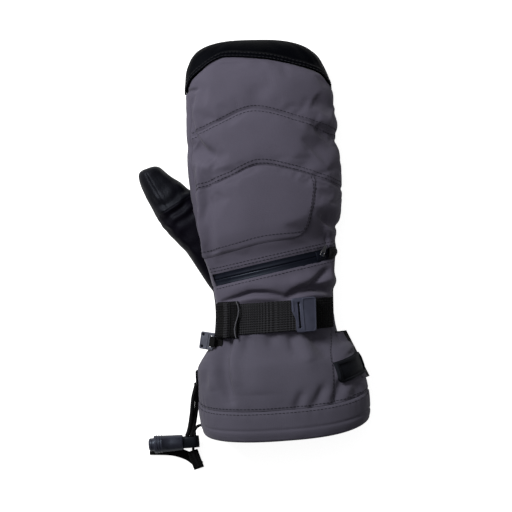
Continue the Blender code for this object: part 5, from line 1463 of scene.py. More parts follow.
def webbing_loop(name, place_x, side, upper_leg, body, stands_for):
    """Webbing that turns round one of the buckle's bars."""
    half = STRAP_WIDTH / 2.0
    turn = pi * LOOP_OUTER
    run = upper_leg + turn + LOOP_LEG

    def place(u, v):
        along = v * run
        across = mix(-half, half, u)
        radius = LOOP_OUTER + weave_height(along, across) * 0.6
        angle = min(max((along - upper_leg) / LOOP_OUTER, 0.0), pi)
        leg = max(upper_leg - along, 0.0) + max(along - upper_leg - turn, 0.0)
        x = place_x + side * (leg - radius * sin(angle))
        return buckle_frame @ Vector((x, across, LOOP_HEIGHT + radius * cos(angle)))

    def outside(point):
        return point - buckle_frame @ Vector((place_x, 0.0, LOOP_HEIGHT))

    sewn(name, bent_grid(60, 48, place, outside), strap_weave, "webbing", stands_for, STRAP_THICKNESS, body)


webbing_loop("strap_turn", LOCK_BAR_PLACE, -1.0, LOOP_LEG, "buckle", ("strap_loop",))
webbing_loop("anchor_turn", ANCHOR_BAR_PLACE, 1.0, LOOP_TURN_IN, "hand", ("buckle_loop",))
print("cover and two turns of webbing")

# %% [markdown]
# The buckle is a moulded plate with rounded rims. Its left-hand lip has a step, a slot with round ends and a
# thin rail lie behind the lip, and a shallow rim frames the plain field to the right. Two bars below the
# plate hold the webbing.

# %% Ladder buckle
BUCKLE_LENGTH = 0.0200
BUCKLE_LIP_STEP = 0.0026
BUCKLE_SLANT = 0.0014
BUCKLE_WIDTH = 0.0272
BUCKLE_PLATE = 0.0018
BUCKLE_RAIL = 0.0010
BUCKLE_SLOT = 0.0013
BUCKLE_SLOT_BAR = 0.0012
BUCKLE_SLOT_LENGTH = 0.0205
BUCKLE_SLOT_PLACE = -0.0042
BUCKLE_SLOT_END = 0.0010
BUCKLE_RIM = 0.0009
BUCKLE_RIM_RISE = 0.0005
BUCKLE_FIELD_INSET = 0.0004
RIDGE_SINK, RIDGE_RISE, RIDGE_BEVEL = 0.0003, 0.0004, 0.0002
left, right = -BUCKLE_LENGTH / 2.0, BUCKLE_LENGTH / 2.0
half = BUCKLE_WIDTH / 2.0
step = BUCKLE_LIP_STEP
lip = [(left + step, -half), (right - BUCKLE_SLANT, -half), (right, half), (left, half), (left, step),
       (left + step, -step)]


slot_reach = BUCKLE_SLOT_LENGTH / 2.0 - BUCKLE_SLOT_END


def slot_outline():
    """A slot along Y with a round hole at each end."""
    outline = []
    for sign in (1.0, -1.0):
        for index in range(11):
            turn = radians(mix(-55.0, 235.0, index / 10))
            outline.append((BUCKLE_SLOT_PLACE + sign * BUCKLE_SLOT_END * cos(turn),
                            sign * (slot_reach + BUCKLE_SLOT_END * sin(turn))))
    return outline


shape = bmesh.new()
plate(shape, [rounded(lip, 0.0024), slot_outline()], PLATE_LOW, PLATE_LOW + BUCKLE_PLATE, 0.0005)
field_left = BUCKLE_SLOT_PLACE + BUCKLE_SLOT + BUCKLE_SLOT_BAR
top = PLATE_LOW + BUCKLE_PLATE
field_half, field_right = half - BUCKLE_FIELD_INSET, right - BUCKLE_FIELD_INSET
field = [(field_left, -field_half), (field_right - BUCKLE_SLANT, -field_half), (field_right, field_half),
         (field_left, field_half)]
centre = Vector((sum(x for x, y in field) / 4.0, 0.0))
inner = [tuple(Vector(corner) - Vector((copysign(BUCKLE_RIM, corner[0] - centre.x),
                                        copysign(BUCKLE_RIM, corner[1])))) for corner in field]
plate(shape, [rounded(field, 0.0020), rounded(inner, 0.0014)], top - RIDGE_SINK, top + BUCKLE_RIM_RISE,
      0.00025)
lip_ridge = rectangle((left + 0.0005, step + 0.0006), (left + 0.0018, half - 0.0018))
rail = rectangle((BUCKLE_SLOT_PLACE - 0.0019, -slot_reach), (BUCKLE_SLOT_PLACE - 0.0011, slot_reach))
for ridge, radius in ((lip_ridge, 0.0005), (rail, 0.0003)):
    plate(shape, [rounded(ridge, radius)], top - RIDGE_SINK, top + RIDGE_RISE, RIDGE_BEVEL)
inside = STRAP_WIDTH / 2.0 + WEBBING_CLEARANCE
low = LOOP_HEIGHT - BUCKLE_BAR
upright = Matrix.Rotation(pi / 2.0, 4, "X")
for side in (-1.0, 1.0):
    ends = sorted((side * inside, side * (inside + BUCKLE_RAIL)))
    block(shape, (LOCK_BAR_PLACE - BUCKLE_BAR, ends[0], low),
          (ANCHOR_BAR_PLACE - BUCKLE_BAR / 2.0, ends[1], top - 0.0005), 0.0002)
    lug = Matrix.Translation((ANCHOR_BAR_PLACE, (ends[0] + ends[1]) / 2.0, LOOP_HEIGHT)) @ upright
    rod(shape, LOOP_OUTER - WEBBING_CLEARANCE, BUCKLE_RAIL * 0.9, lug, 32)
for x in (LOCK_BAR_PLACE, ANCHOR_BAR_PLACE):
    place = Matrix.Translation((x, 0.0, LOOP_HEIGHT)) @ upright
    rod(shape, BUCKLE_BAR, 2.0 * inside + BUCKLE_RAIL, place, 16)
move(shape, buckle_frame)
face_out(shape)
buckle = piece("buckle_plate", shape, buckle_plastic, "buckle", "buckle", ("ladder_buckle",))
buckle.data.set_sharp_from_angle(angle=radians(50.0))
print("buckle on two bars")

# %% [markdown]
# A small plastic tab at the side of the wrist clips the pair of mittens together. It hangs on a narrow
# tape that turns round its bar, and it can flap up and down.

# %% Pair clip
CLIP_PLACE = -0.0972
CLIP_ANGLE = radians(153.0)
CLIP_STANDOFF = 0.0052
CLIP_TURN = radians(-12.5)
CLIP_DROOP = radians(18.0)
CLIP_LENGTH = 0.0115
CLIP_WIDTH = 0.0138
CLIP_THICKNESS = 0.0018
CLIP_BAR = 0.0018
CLIP_SLOT = 0.0026
CLIP_SLOT_LENGTH = 0.0090
CLIP_HOLE = 0.0011
CLIP_HOLE_INSET = 0.0022
CLIP_TAPE_WIDTH = 0.0080
CLIP_TAPE_LENGTH = 0.0075
CLIP_TAPE_THICKNESS = 0.0007
CLIP_LOOP = 0.0023
CLIP_RIDGE_RISE = 0.0005
clip_frame = (Matrix.Translation(skin_point(CLIP_ANGLE, CLIP_PLACE, -CLIP_STANDOFF))
              @ Matrix.Rotation(pi + CLIP_TURN, 4, "Z") @ Matrix.Rotation(CLIP_DROOP, 4, "Y"))
half, bar = CLIP_WIDTH / 2.0, CLIP_BAR / 2.0
slot_half = CLIP_SLOT_LENGTH / 2.0
outlines = [rounded(rectangle((-bar, -half), (CLIP_LENGTH - bar, half)), 0.0014),
            rounded(rectangle((bar, -slot_half), (bar + CLIP_SLOT * 0.6, slot_half)), 0.0006)]
rivets = bmesh.new()
for side in (-1.0, 1.0):
    x, y = CLIP_LENGTH - bar - CLIP_HOLE_INSET, side * (half - CLIP_HOLE_INSET)
    turns = [tau * index / 12 for index in range(12)]
    outlines.append([(x + CLIP_HOLE * cos(a), y + CLIP_HOLE * sin(a)) for a in turns])
    rod(rivets, CLIP_HOLE, CLIP_THICKNESS * 0.6, clip_frame @ Matrix.Translation((x, y, 0.0)))
piece("clip_rivets", rivets, label_rubber, "pair_clip", "clip")
shape = bmesh.new()
plate(shape, outlines, -CLIP_THICKNESS / 2.0, CLIP_THICKNESS / 2.0, 0.0004, clip_frame)
ridge_start, ridge_half = bar + CLIP_SLOT + 0.0004, half - 0.0010
ridge = rounded(rectangle((ridge_start, -ridge_half), (ridge_start + 0.0010, ridge_half)), 0.0003)
top = CLIP_THICKNESS / 2.0
plate(shape, [ridge], top - RIDGE_SINK, top + CLIP_RIDGE_RISE, RIDGE_BEVEL, clip_frame)
piece("clip_tab", shape, clip_plastic, "pair_clip", "clip", ("pair_clip",))


def clip_loop(u, v):
    """The tape: round the tab's bar, and back to the wrist below."""
    turn = pi * CLIP_LOOP
    along = v * (CLIP_LOOP + turn + CLIP_TAPE_LENGTH)
    angle = min(max((along - CLIP_LOOP) / CLIP_LOOP, 0.0), pi)
    leg = max(CLIP_LOOP - along, 0.0) + max(along - CLIP_LOOP - turn, 0.0)
    across = mix(-CLIP_TAPE_WIDTH / 2.0, CLIP_TAPE_WIDTH / 2.0, u)
    return clip_frame @ Vector((CLIP_LOOP * sin(angle) - leg, across, CLIP_LOOP * cos(angle)))


def away_from_clip(point):
    return point - clip_frame.translation


shape = bent_grid(24, 48, clip_loop, away_from_clip)
sewn("clip_tape_loop", shape, dark_weave, "webbing", ("clip_tape",), CLIP_TAPE_THICKNESS)
print("pair clip on its tape")

# %% [markdown]
# The gauntlet flares from the wrist to the hem. It has three panels of the same cloth, and soft folds run
# down from the strap, where it is drawn in. The hem is a wide band folded over the drawcord.

# %% Gauntlet
HEM_DIP = 0.0096
HEM_POWER = 0.95
HEM_LEAN = 0.30
HEM_WIDTH = 0.0240
HEM_FOLD = 0.0029
HEM_CLOTH = 0.0012
HEM_FACING = 0.0200
HEM_SWELL = 0.0011
HEM_UNEVEN = 0.0007
HEM_GROOVE = 0.0005
GROOVE_PLACE = 0.0062
HEM_JUDGED = 0.85
PUCKER_RISE = 0.00034
PUCKER_REACH = 0.0075
CUFF_CROWN = 0.0012
CUFF_MIDDLE = -0.1450
CUFF_WAIST = -0.1200
CUFF_SEAM_X = 0.0470
CUFF_UNDER = radians(-30.0)
SKIN = 0.0012


def hem_line(angle):
    return HEM_PLACE - HEM_DIP * max(sin(angle), 0.0) ** (HEM_POWER + HEM_LEAN * cos(angle))


def hem_seam(angle):
    return hem_line(angle) + HEM_WIDTH


def pucker(angle, distance):
    """Small gathers that the hem's seam draws in the cloth beside it."""
    wave = sin(angle * 37.0 + 2.0 * sin(angle * 9.0)) * (0.6 + 0.4 * sin(angle * 5.0))
    return PUCKER_RISE * wave * bell(distance, PUCKER_REACH)


def side_seam(place):
    """The angle of the upright seam at the little finger's side."""
    return angle_at(CUFF_SEAM_X, place)


def cuff_panel(name, sides, columns, rows, stands_for):
    width = abs(sides[1](CUFF_WAIST) - sides[0](CUFF_WAIST)) * half_width(CUFF_WAIST)

    def place(u, v):
        u, v = crowd(u), crowd(v)
        angle = mix(sides[0](CUFF_MIDDLE), sides[1](CUFF_MIDDLE), u)
        start = hem_seam(angle)
        y = mix(start, WRIST_SEAM, v)
        angle = mix(sides[0](y), sides[1](y), u)
        dip = max(seam_dip(y - start), 0.4 * seam_dip(min(u, 1.0 - u) * width))
        height = CUFF_CROWN * bulge(u, v) - dip + pucker(angle, y - start)
        return shell_point(angle, y, height)

    return sewn(name, bent_grid(columns, rows, place), cuff_cloth, "softshell", stands_for, SKIN)


cuff_pieces = [
    cuff_panel("gauntlet_back", (side_seam, lambda place: pi), 130, 70, ("gauntlet_back_panel",)),
    cuff_panel("gauntlet_side", (lambda place: CUFF_UNDER, side_seam), 70, 70, ("gauntlet_side_panel",)),
    cuff_panel("gauntlet_palm", (lambda place: pi, lambda place: tau + CUFF_UNDER), 110, 60,
               ("gauntlet_palm_panel", "wrist_elastic")),
]


def hem_place(u, v):
    """The folded hem: down the outside, round the cord and up the inside."""
    angle = tau * u
    bottom = hem_line(angle) + HEM_FOLD
    outer = hem_seam(angle) - bottom
    turn = pi * HEM_FOLD
    inner = HEM_FACING - HEM_FOLD
    along = v * (outer + turn + inner)
    bend = min(max((along - outer) / HEM_FOLD, 0.0), pi)
    y = bottom + max(outer - along, 0.0) + max(along - outer - turn, 0.0) - HEM_FOLD * sin(bend)
    depth = HEM_FOLD - HEM_FOLD * cos(bend)
    swell = 0.0
    if along < outer:
        share = along / outer
        flat = skin_point(angle, y, 0.0)
        swell = HEM_SWELL * (1.0 - (2.0 * share - 1.0) ** 4) - seam_dip(along) + pucker(angle, along)
        swell += HEM_UNEVEN * noise.noise(Vector((flat.x * 60.0, flat.z * 60.0, 3.0)))
        swell -= HEM_GROOVE * bell(along - outer + GROOVE_PLACE, 0.0012)
    return skin_point(angle, y, depth - swell)


def hem_outside(point):
    """The way out of the hem, judged by the part beside its seam alone."""
    return away_from_axis(point) * (1.0 if point.y > HEM_PLACE + HEM_WIDTH * HEM_JUDGED else 0.0)


cuff_pieces.append(sewn("hem_fold", bent_grid(240, 70, hem_place, hem_outside), cuff_cloth, "softshell",
                        ("hem_band", "hem_drawcord"), HEM_CLOTH))
print("gauntlet and hem:", [made.name for made in cuff_pieces])

# %% [markdown]
# On the little finger's side of the gauntlet there is a plain black rubber label with a raised border, and a
# stiff black tape along the edge, whose top corner stands away from the cloth.

# %% Label and edge tape
LABEL_ANGLES = (radians(8.0), radians(54.0))
LABEL_PLACE = -0.1215
LABEL_SLOPE = 0.0070
LABEL_HEIGHT = 0.0170
LABEL_THICKNESS = 0.0012
LABEL_BORDER = 0.0015
LABEL_RISE = 0.0011
LABEL_WIDTH = 0.0300
LABEL_CORNER = 0.0030
LABEL_SEAT = 0.0014
LABEL_ROUND = 0.0008
EDGE_TAPE_ANGLE = radians(17.0)
EDGE_TAPE_LEVEL = 0.0290
EDGE_TAPE_PLACES = (-0.1345, -0.0968)
EDGE_TAPE_LINE = (0.0758, 0.0600)
EDGE_TAPE_BARE = 0.34
EDGE_TAPE_ARCH = 0.0016
EDGE_TAPE_THICKNESS = 0.0016
EDGE_FACING_RISE = 0.0011
EDGE_FACING_THICKNESS = 0.0009


def label_place(u, v):
    u, v = crowd(u), crowd(v)
    along, over = u * LABEL_WIDTH, v * LABEL_HEIGHT
    border = min(along, LABEL_WIDTH - along, over, LABEL_HEIGHT - over)
    left_side = LABEL_WIDTH - along
    left_side, over = round_corner(left_side, over, LABEL_CORNER * 1.6)
    right_side, high = round_corner(LABEL_WIDTH - left_side, LABEL_HEIGHT - over, LABEL_CORNER)
    u, v = right_side / LABEL_WIDTH, 1.0 - high / LABEL_HEIGHT
    rise = LABEL_RISE * fade(abs(border - LABEL_BORDER), LABEL_BORDER * 0.45, LABEL_BORDER * 0.75)
    edge = LABEL_ROUND * bell(border, 0.0004)
    y = LABEL_PLACE - u * LABEL_SLOPE + (v - 0.5) * LABEL_HEIGHT
    angle = mix(LABEL_ANGLES[0], LABEL_ANGLES[1], u)
    return shell_point(angle, y, LABEL_SEAT + LABEL_THICKNESS + rise - edge)


shape = bent_grid(96, 60, label_place)
sewn("label_patch", shape, label_rubber, "rubber", ("cuff_label",), LABEL_THICKNESS)


def edge_tape_place(u, v):
    """A straight flap: u from its free edge to the cloth, v from the hem to its top corner."""
    y = mix(EDGE_TAPE_PLACES[0], EDGE_TAPE_PLACES[1], v)
    free = Vector((mix(EDGE_TAPE_LINE[0], EDGE_TAPE_LINE[1], v), y, EDGE_TAPE_LEVEL))
    seam = shell_point(EDGE_TAPE_ANGLE, y, 0.0006)
    return free.lerp(seam, u) + UP * EDGE_TAPE_ARCH * sin(pi * u)


shape = bent_grid(16, 60, edge_tape_place, upwards)
sewn("edge_tape", shape, dark_weave, "webbing", ("cuff_edge_tape",), EDGE_TAPE_THICKNESS)


def edge_facing(u, v):
    """The cloth that is turned over the tape, and leaves its free edge bare."""
    return edge_tape_place(mix(EDGE_TAPE_BARE, 1.0, u), mix(0.0, 0.97, v)) + UP * EDGE_FACING_RISE


shape = bent_grid(16, 60, edge_facing, upwards)
sewn("edge_facing", shape, cuff_cloth, "softshell", thickness=EDGE_FACING_THICKNESS)
print("label and edge tape")

# %% [markdown]
# Inside, a dark fleece lines the hand and the gauntlet. It shows at the mouth of the cuff. Its pile is
# uneven, so its points are pushed in and out a little.

# %% Linings
LINING_DEPTH = 0.0102
INSULATION_TOP = 0.0075
LINING_FLARE = -0.1120
TUFT_RISE = 0.0005


def tufted(angle, place, depth):
    return skin_point(angle, place, depth + TUFT_RISE * round_noise(angle, 9.0, place * 160.0))


def hand_lining(u, v):
    angle = tau * u
    place = mix(PADDING_END, FINGERTIP - LINING_DEPTH - 0.001, ease(v))
    return tufted(angle, place, LINING_DEPTH)


def cuff_lining(u, v):
    angle = tau * u
    y = mix(hem_seam(angle) - 0.0060, PADDING_END + 0.0030, v)
    narrow = fade(PADDING_END - y, 0.0, PADDING_END - LINING_FLARE)
    return tufted(angle, y, mix(INSULATION_TOP, LINING_DEPTH, narrow))


sewn("hand_fleece", bent_grid(110, 90, hand_lining), lining_fleece, "fleece",
     ("hand_lining", "membrane", "back_insulation"))
sewn("cuff_fleece", bent_grid(150, 50, cuff_lining), lining_fleece, "fleece", ("gauntlet_lining",))
print("fleece linings")

# %% [markdown]
# The drawcord's two ends leave the hem through eyelets, pass through a cord lock and end in a folded pull
# tab. A doubled cord ties the lock to the cuff. All of them lie on the table beside the cuff. The
# cords are braided, which is modelled as crossing ripples on a tube.

# %% Braided cords
DRAWCORD = 0.0022
TETHER_CORD = 0.0036
SEAM_GAP = 0.0004
EXIT_ANGLES = (radians(194.0), radians(202.0))
PULL_TAPE_THICKNESS = 0.0013
LOCK_MOUTH = 0.0072
LOCK_COLLAR = 0.0060
LOCK_HOLE = (0.0108, 0.0070)
LOCK_CENTRE = Vector((-0.0710, -0.1780, PULL_TAPE_THICKNESS + SEAM_GAP + LOCK_MOUTH))
STRAND_END = 0.0034
STRAND_LEVELS = (0.0014, -0.0014)
STRAND_LEAD = 0.0033
STRAND_INSIDE = (0.0016, -0.0020)
STRAND_ROUTE = (((-0.0700, -0.1865, 0.0078), 0.5), ((-0.0682, -0.1935, 0.0056), 0.3),
                ((-0.0668, -0.1985, 0.0042), 0.2))
TETHER_ANGLE = radians(174.0)
TETHER_PLACE = -0.1300
TETHER_STARTS = (radians(170.5), radians(176.0))
TETHER_ROUTES = (
    ((-0.0661, -0.1420, 0.0250), (-0.0688, -0.1560, 0.0165), (-0.0722, -0.1690, 0.0100)),
    ((-0.0630, -0.1420, 0.0225), (-0.0656, -0.1560, 0.0150), (-0.0690, -0.1690, 0.0100)),
)
TETHER_ENDS = (-0.0031, 0.0005)
BRAID_RISE = 0.06


def route(points, count):
    """Evenly spread points on a smooth line through a few points, and its length."""
    points = [Vector(point) for point in points]
    marks = [0.0]
    for a, b in zip(points, points[1:]):
        marks.append(marks[-1] + (b - a).length)
    axes = [smooth_curve([(s, p[axis]) for s, p in zip(marks, points)]) for axis in range(3)]
    path = [Vector([axis(marks[-1] * index / count) for axis in axes]) for index in range(count + 1)]
    return path, sum((b - a).length for a, b in zip(path, path[1:]))


def braided(path, length, diameter):
    """A tube along a path, with two sets of ripples that cross as a braid's strands do."""
    count = len(path) - 1
    frames = []
    side = Vector((1.0, 0.3, 0.2))
    for index, point in enumerate(path):
        ahead = (path[min(index + 1, count)] - path[max(index - 1, 0)]).normalized()
        side = (side - ahead * side.dot(ahead)).normalized()
        frames.append((side.copy(), ahead.cross(side)))
    turn_length = 3.2 * diameter

    def place(u, v):
        index = round(v * count)
        across, over = frames[index]
        angle = tau * u
        phase = tau * v * length / turn_length
        ripple = sin(4.0 * angle + 4.0 * phase) * sin(4.0 * angle - 4.0 * phase)
        radius = diameter / 2.0 * (1.0 - BRAID_RISE + BRAID_RISE * ripple)
        return path[index] + radius * (cos(angle) * across + sin(angle) * over)

    def outside(point):
        return point - min(path, key=lambda spot: (spot - point).length_squared)

    return closed(bent_grid(32, count, place, outside))


def add_cord(name, points, diameter, stands_for):
    path, length = route(points, 120)
    made = piece(name, braided(path, length, diameter), cord_braid, "hand", "cord", stands_for)
    tuple(path[0])
    [tuple(point) for point in path]
    print(name, round(length * 1000, 1), "mm")
    return made


# %% Lay the cords
mouth = LOCK_CENTRE.y + sqrt(LOCK_COLLAR ** 2 - (LOCK_HOLE[1] / 2.0) ** 2)
eyelets = []
for letter, angle, level in zip("ab", EXIT_ANGLES, STRAND_LEVELS):
    place = hem_line(angle) + HEM_FOLD
    seat = skin_point(angle, place, -SEAM_GAP)
    out = (skin_point(angle, place, -0.004) - skin_point(angle, place, 0.004)).normalized()
    eyelets.append((letter, seat, out))
    goal = Vector((LOCK_CENTRE.x + STRAND_END, mouth, LOCK_CENTRE.z + level))
    start = seat + out * SEAM_GAP
    inside = LOCK_CENTRE + Vector((*STRAND_INSIDE, level))
    beyond = [Vector(spot) + UP * level * share for spot, share in STRAND_ROUTE]
    ahead = goal + Vector((0.0, STRAND_LEAD, 0.0))
    points = (start, start + out * STRAND_LEAD, ahead, goal, inside, *beyond)
    add_cord("drawcord_" + letter, points, DRAWCORD, ("drawcord_strand_" + letter,))
for letter, bends, end, angle in zip("ab", TETHER_ROUTES, TETHER_ENDS, TETHER_STARTS):
    start = skin_point(angle, TETHER_PLACE, -TETHER_CORD / 2.0)
    goal = Vector((LOCK_CENTRE.x + end, mouth, LOCK_CENTRE.z))
    add_cord("tether_" + letter, (start, *bends, goal), TETHER_CORD, ("tether_leg_" + letter,))

# %% [markdown]
# The cord lock is a tapered plastic barrel. At one end it has an eye that the cords go through. At the other,
# inside a few grip rings, sits a button that is pressed to let them slide. A coil spring pushes it back, and
# is squeezed as the button goes in.

# %% Sizes of the cord lock
LOCK_COLLAR_LENGTH = 0.0130
LOCK_NECK = 0.0060
LOCK_LENGTH = 0.0235
LOCK_BORE = 0.0056
LOCK_BORE_DEPTH = 0.0150
PLUNGER_LENGTH = 0.0070
PLUNGER_PROUD = 0.0045
PLUNGER_CLEARANCE = 0.0003
SPRING_WIRE = 0.0006
SPRING_TURNS = 7
GRIP_RINGS = 3
GRIP_PITCH = 0.0020
GRIP_SIZE = 0.0004
EYE_HALF_HEIGHT = 0.0045
EYE_BEVEL = 0.0011
EYE_ROUNDING = 0.0046
STEM_RADIUS = 0.0020
STEM_LENGTH = 0.0035
EYELET_GAP = 0.0006
EYELET_WIRE = 0.0005
BARREL_START = LOCK_COLLAR_LENGTH / 2.0
BARREL_END = BARREL_START + LOCK_LENGTH
BORE_FLOOR = BARREL_END - LOCK_BORE_DEPTH
PLUNGER_TOP = BARREL_END + PLUNGER_PROUD
lying = Matrix.Rotation(-pi / 2.0, 4, "Y")
lock_frame = Matrix.Translation(LOCK_CENTRE) @ lying


def turned_shape(profile, steps=64):
    """A shape turned about Z from its (radius, height) outline."""
    shape = bmesh.new()
    corners = [shape.verts.new((radius, 0.0, height)) for radius, height in profile]
    edges = [shape.edges.new(pair) for pair in zip(corners, corners[1:])]
    bmesh.ops.spin(shape, geom=corners + edges, axis=UP, cent=(0.0, 0.0, 0.0), angle=tau, steps=steps,
                   use_merge=True)
    return closed(shape)


def bead(radius, height, size, steps=6):
    """Points of a rounded grip ring on a barrel's profile."""
    turns = [pi * index / steps for index in range(steps + 1)]
    return [(radius + size * sin(a), height + size * cos(a)) for a in turns]


# %% Barrel and eye
wall = [(0.0, BORE_FLOOR), (LOCK_BORE, BORE_FLOOR), (LOCK_BORE, BARREL_END - 0.0004),
        (LOCK_BORE + 0.0004, BARREL_END), (LOCK_MOUTH - 0.0006, BARREL_END),
        (LOCK_MOUTH, BARREL_END - 0.0006)]
for index in range(GRIP_RINGS):
    height = BARREL_END - 0.0022 - GRIP_PITCH * index
    share = (height - BARREL_START) / LOCK_LENGTH
    wall += bead(mix(LOCK_NECK, LOCK_MOUTH, share) - 0.0001, height, GRIP_SIZE)
wall += [(mix(LOCK_NECK, LOCK_MOUTH, 0.4), mix(BARREL_START, BARREL_END, 0.4)),
         (LOCK_NECK + 0.0002, BARREL_START + 0.0010), (LOCK_NECK - 0.0005, BARREL_START), (0.0, BARREL_START)]
shape = turned_shape(wall)
hole_half = Vector((LOCK_HOLE[1] / 2.0, LOCK_HOLE[0] / 2.0))
hole = rounded(rectangle(-hole_half, hole_half), 0.0020)
eye = rounded(rectangle((-LOCK_COLLAR, -BARREL_START), (LOCK_COLLAR, BARREL_START + 0.0006)), EYE_ROUNDING)
move(shape, lock_frame)
piece("lock_body", shape, lock_plastic, "hand", "lock", ("lock_barrel",))
shape = bmesh.new()
plate(shape, (eye, hole), -EYE_HALF_HEIGHT, EYE_HALF_HEIGHT, EYE_BEVEL, lock_frame @ upright)
piece("lock_eye", shape, eye_plastic, "hand", "lock")
print("barrel with", GRIP_RINGS, "grip rings")

# %% Button, spring and eyelets
head = LOCK_BORE - PLUNGER_CLEARANCE
shoulder = PLUNGER_TOP - PLUNGER_LENGTH
button = [(0.0, PLUNGER_TOP - 0.0003), (head - 0.0026, PLUNGER_TOP), (head - 0.0012, PLUNGER_TOP - 0.0003),
          (head - 0.0003, PLUNGER_TOP - 0.0010), (head, PLUNGER_TOP - 0.0018), (head, PLUNGER_TOP - 0.0026),
          (head - 0.0004, PLUNGER_TOP - 0.0029), (head, PLUNGER_TOP - 0.0032), (head, shoulder),
          (STEM_RADIUS, shoulder), (STEM_RADIUS, shoulder - STEM_LENGTH), (0.0, shoulder - STEM_LENGTH)]
shape = turned_shape(button)
move(shape, lock_frame)
piece("lock_button", shape, lock_plastic, "plunger", "lock", ("lock_plunger",))
low, high = (Vector(corner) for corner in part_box("lock_spring"))
steps = SPRING_TURNS * 20
shape = bmesh.new()
bmesh.ops.create_circle(shape, segments=8, radius=SPRING_WIRE / 2.0,
                        matrix=Matrix.Translation(((high.y - low.y - SPRING_WIRE) / 2.0, 0.0, 0.0)) @ upright)
bmesh.ops.spin(shape, geom=shape.verts[:] + shape.edges[:], axis=UP, cent=(0.0, 0.0, 0.0), steps=steps,
               angle=tau * SPRING_TURNS, dvec=UP * (high.x - low.x - SPRING_WIRE) / steps)
bmesh.ops.holes_fill(shape, edges=shape.edges[:])
start = Vector((high.x - SPRING_WIRE / 2.0, LOCK_CENTRE.y, LOCK_CENTRE.z))
move(shape, Matrix.Translation(start) @ lying)
coil = piece("lock_coil", closed(shape), zip_metal, "hand", "metal", ("lock_spring",))
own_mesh(coil)
for letter, seat, out in eyelets:
    shape = bmesh.new()
    turn = Vector((0.0, 1.0, 0.0)).rotation_difference(out).to_matrix().to_4x4()
    place = Matrix.Translation(seat + out * EYELET_GAP) @ turn
    ring(shape, DRAWCORD / 2.0 + EYELET_GAP, EYELET_WIRE, tau, place)
    piece("eyelet_" + letter, closed(shape), eyelet_metal, "hand", "metal", ("cord_eyelet_" + letter,))
print("button, spring and", len(eyelets), "eyelets")

# %% [markdown]
# The pull is a folded tape. One leg lies flat under the lock as a tail, and the tab that holds the cords'
# ends stands off it. The patch that the tether leaves is leather, sewn to the cuff.

# %% Pull tab, tail and tether patch
PULL_TAPE_WIDTH = 0.0072
PULL_TAB_WIDTH = 0.0085
PULL_TAB_THICKNESS = 0.0026
TAIL_ROUTE = ((-0.0655, -0.1985), (-0.0760, -0.1895), (-0.0890, -0.1850), (-0.1055, -0.1833))
TAB_ROUTE = ((-0.0702, -0.1862, 0.0080), (-0.0690, -0.1910, 0.0062), (-0.0664, -0.2005, 0.0031))
TETHER_PATCH = (0.0110, 0.0090)
PATCH_RISE = 0.0010


def flat_tape(points, width, thickness, columns=28, rows=70):
    """A tape along a route, level across, with its weave."""
    path, length = route(points, rows)

    def place(u, v):
        index = round(v * rows)
        ahead = (path[min(index + 1, rows)] - path[max(index - 1, 0)]).normalized()
        across = ahead.cross(UP).normalized()
        edge = min(u, 1.0 - u) * width
        weave = 0.6 * weave_height(v * length, u * width)
        height = thickness / 2.0 + weave - STRAP_ROUND * bell(edge, 0.0005)
        return path[index] + across * (u - 0.5) * width + UP * height

    return bent_grid(columns, rows, place, upwards)


tab_low = PULL_TAPE_THICKNESS + SEAM_GAP + PULL_TAB_THICKNESS / 2.0
tab = [(x, y, max(z, tab_low)) for x, y, z in TAB_ROUTE]
shape = flat_tape(tab, PULL_TAB_WIDTH, PULL_TAB_THICKNESS)
sewn("pull_fold", shape, dark_weave, "cord", ("pull_tab",), PULL_TAB_THICKNESS * 0.9)
tail = [(x, y, PULL_TAPE_THICKNESS / 2.0) for x, y in TAIL_ROUTE]
shape = flat_tape(tail, PULL_TAPE_WIDTH, PULL_TAPE_THICKNESS)
sewn("pull_tail_tape", shape, dark_weave, "cord", ("pull_tail",), PULL_TAPE_THICKNESS * 0.85)


def patch_place(u, v):
    spread_angle = TETHER_PATCH[1] / 2.0 / top_line(TETHER_PLACE)
    angle = TETHER_ANGLE + mix(-spread_angle, spread_angle, u)
    edge = min(u, 1.0 - u, v, 1.0 - v) * TETHER_PATCH[1]
    height = PATCH_RISE * (2.0 - bell(edge, 0.0007))
    return shell_point(angle, TETHER_PLACE + v * TETHER_PATCH[0], height)


sewn("tether_anchor", bent_grid(30, 36, patch_place), cap_leather, "leather", ("tether_patch",), SKIN)
print("pull tape and tether patch")

# %% [markdown]
# Seams are what make the panels look sewn. Each stitch is a small spindle of thread, laid along a line beside
# the seam. Rays are cast down onto the finished cloth to seat the stitches, because the panels are puffed.

# %% Helpers for stitches
STITCH_PITCH = 0.0030
STITCH_LENGTH = 0.0024
STITCH_WIDTH = 0.00062
STITCH_SEAT = 0.16
CAST_HEIGHT = 0.0120


def surface_of(made_pieces):
    """One search tree over the final meshes of some pieces."""
    graph = bpy.context.evaluated_depsgraph_get()
    shape = bmesh.new()
    for made in made_pieces:
        shape.from_mesh(made.evaluated_get(graph).data)
    tree = BVHTree.FromBMesh(shape)
    shape.free()
    return tree


def seated(tree, angle, place):
    """The point and the normal of the cloth at an angle and a place, or None."""
    start = skin_point(angle, place, -CAST_HEIGHT)
    aim = skin_point(angle, place, 0.004) - start
    spot, normal = tree.ray_cast(start, aim.normalized(), 3.0 * CAST_HEIGHT)[:2]
    return None if spot is None else (spot, normal)


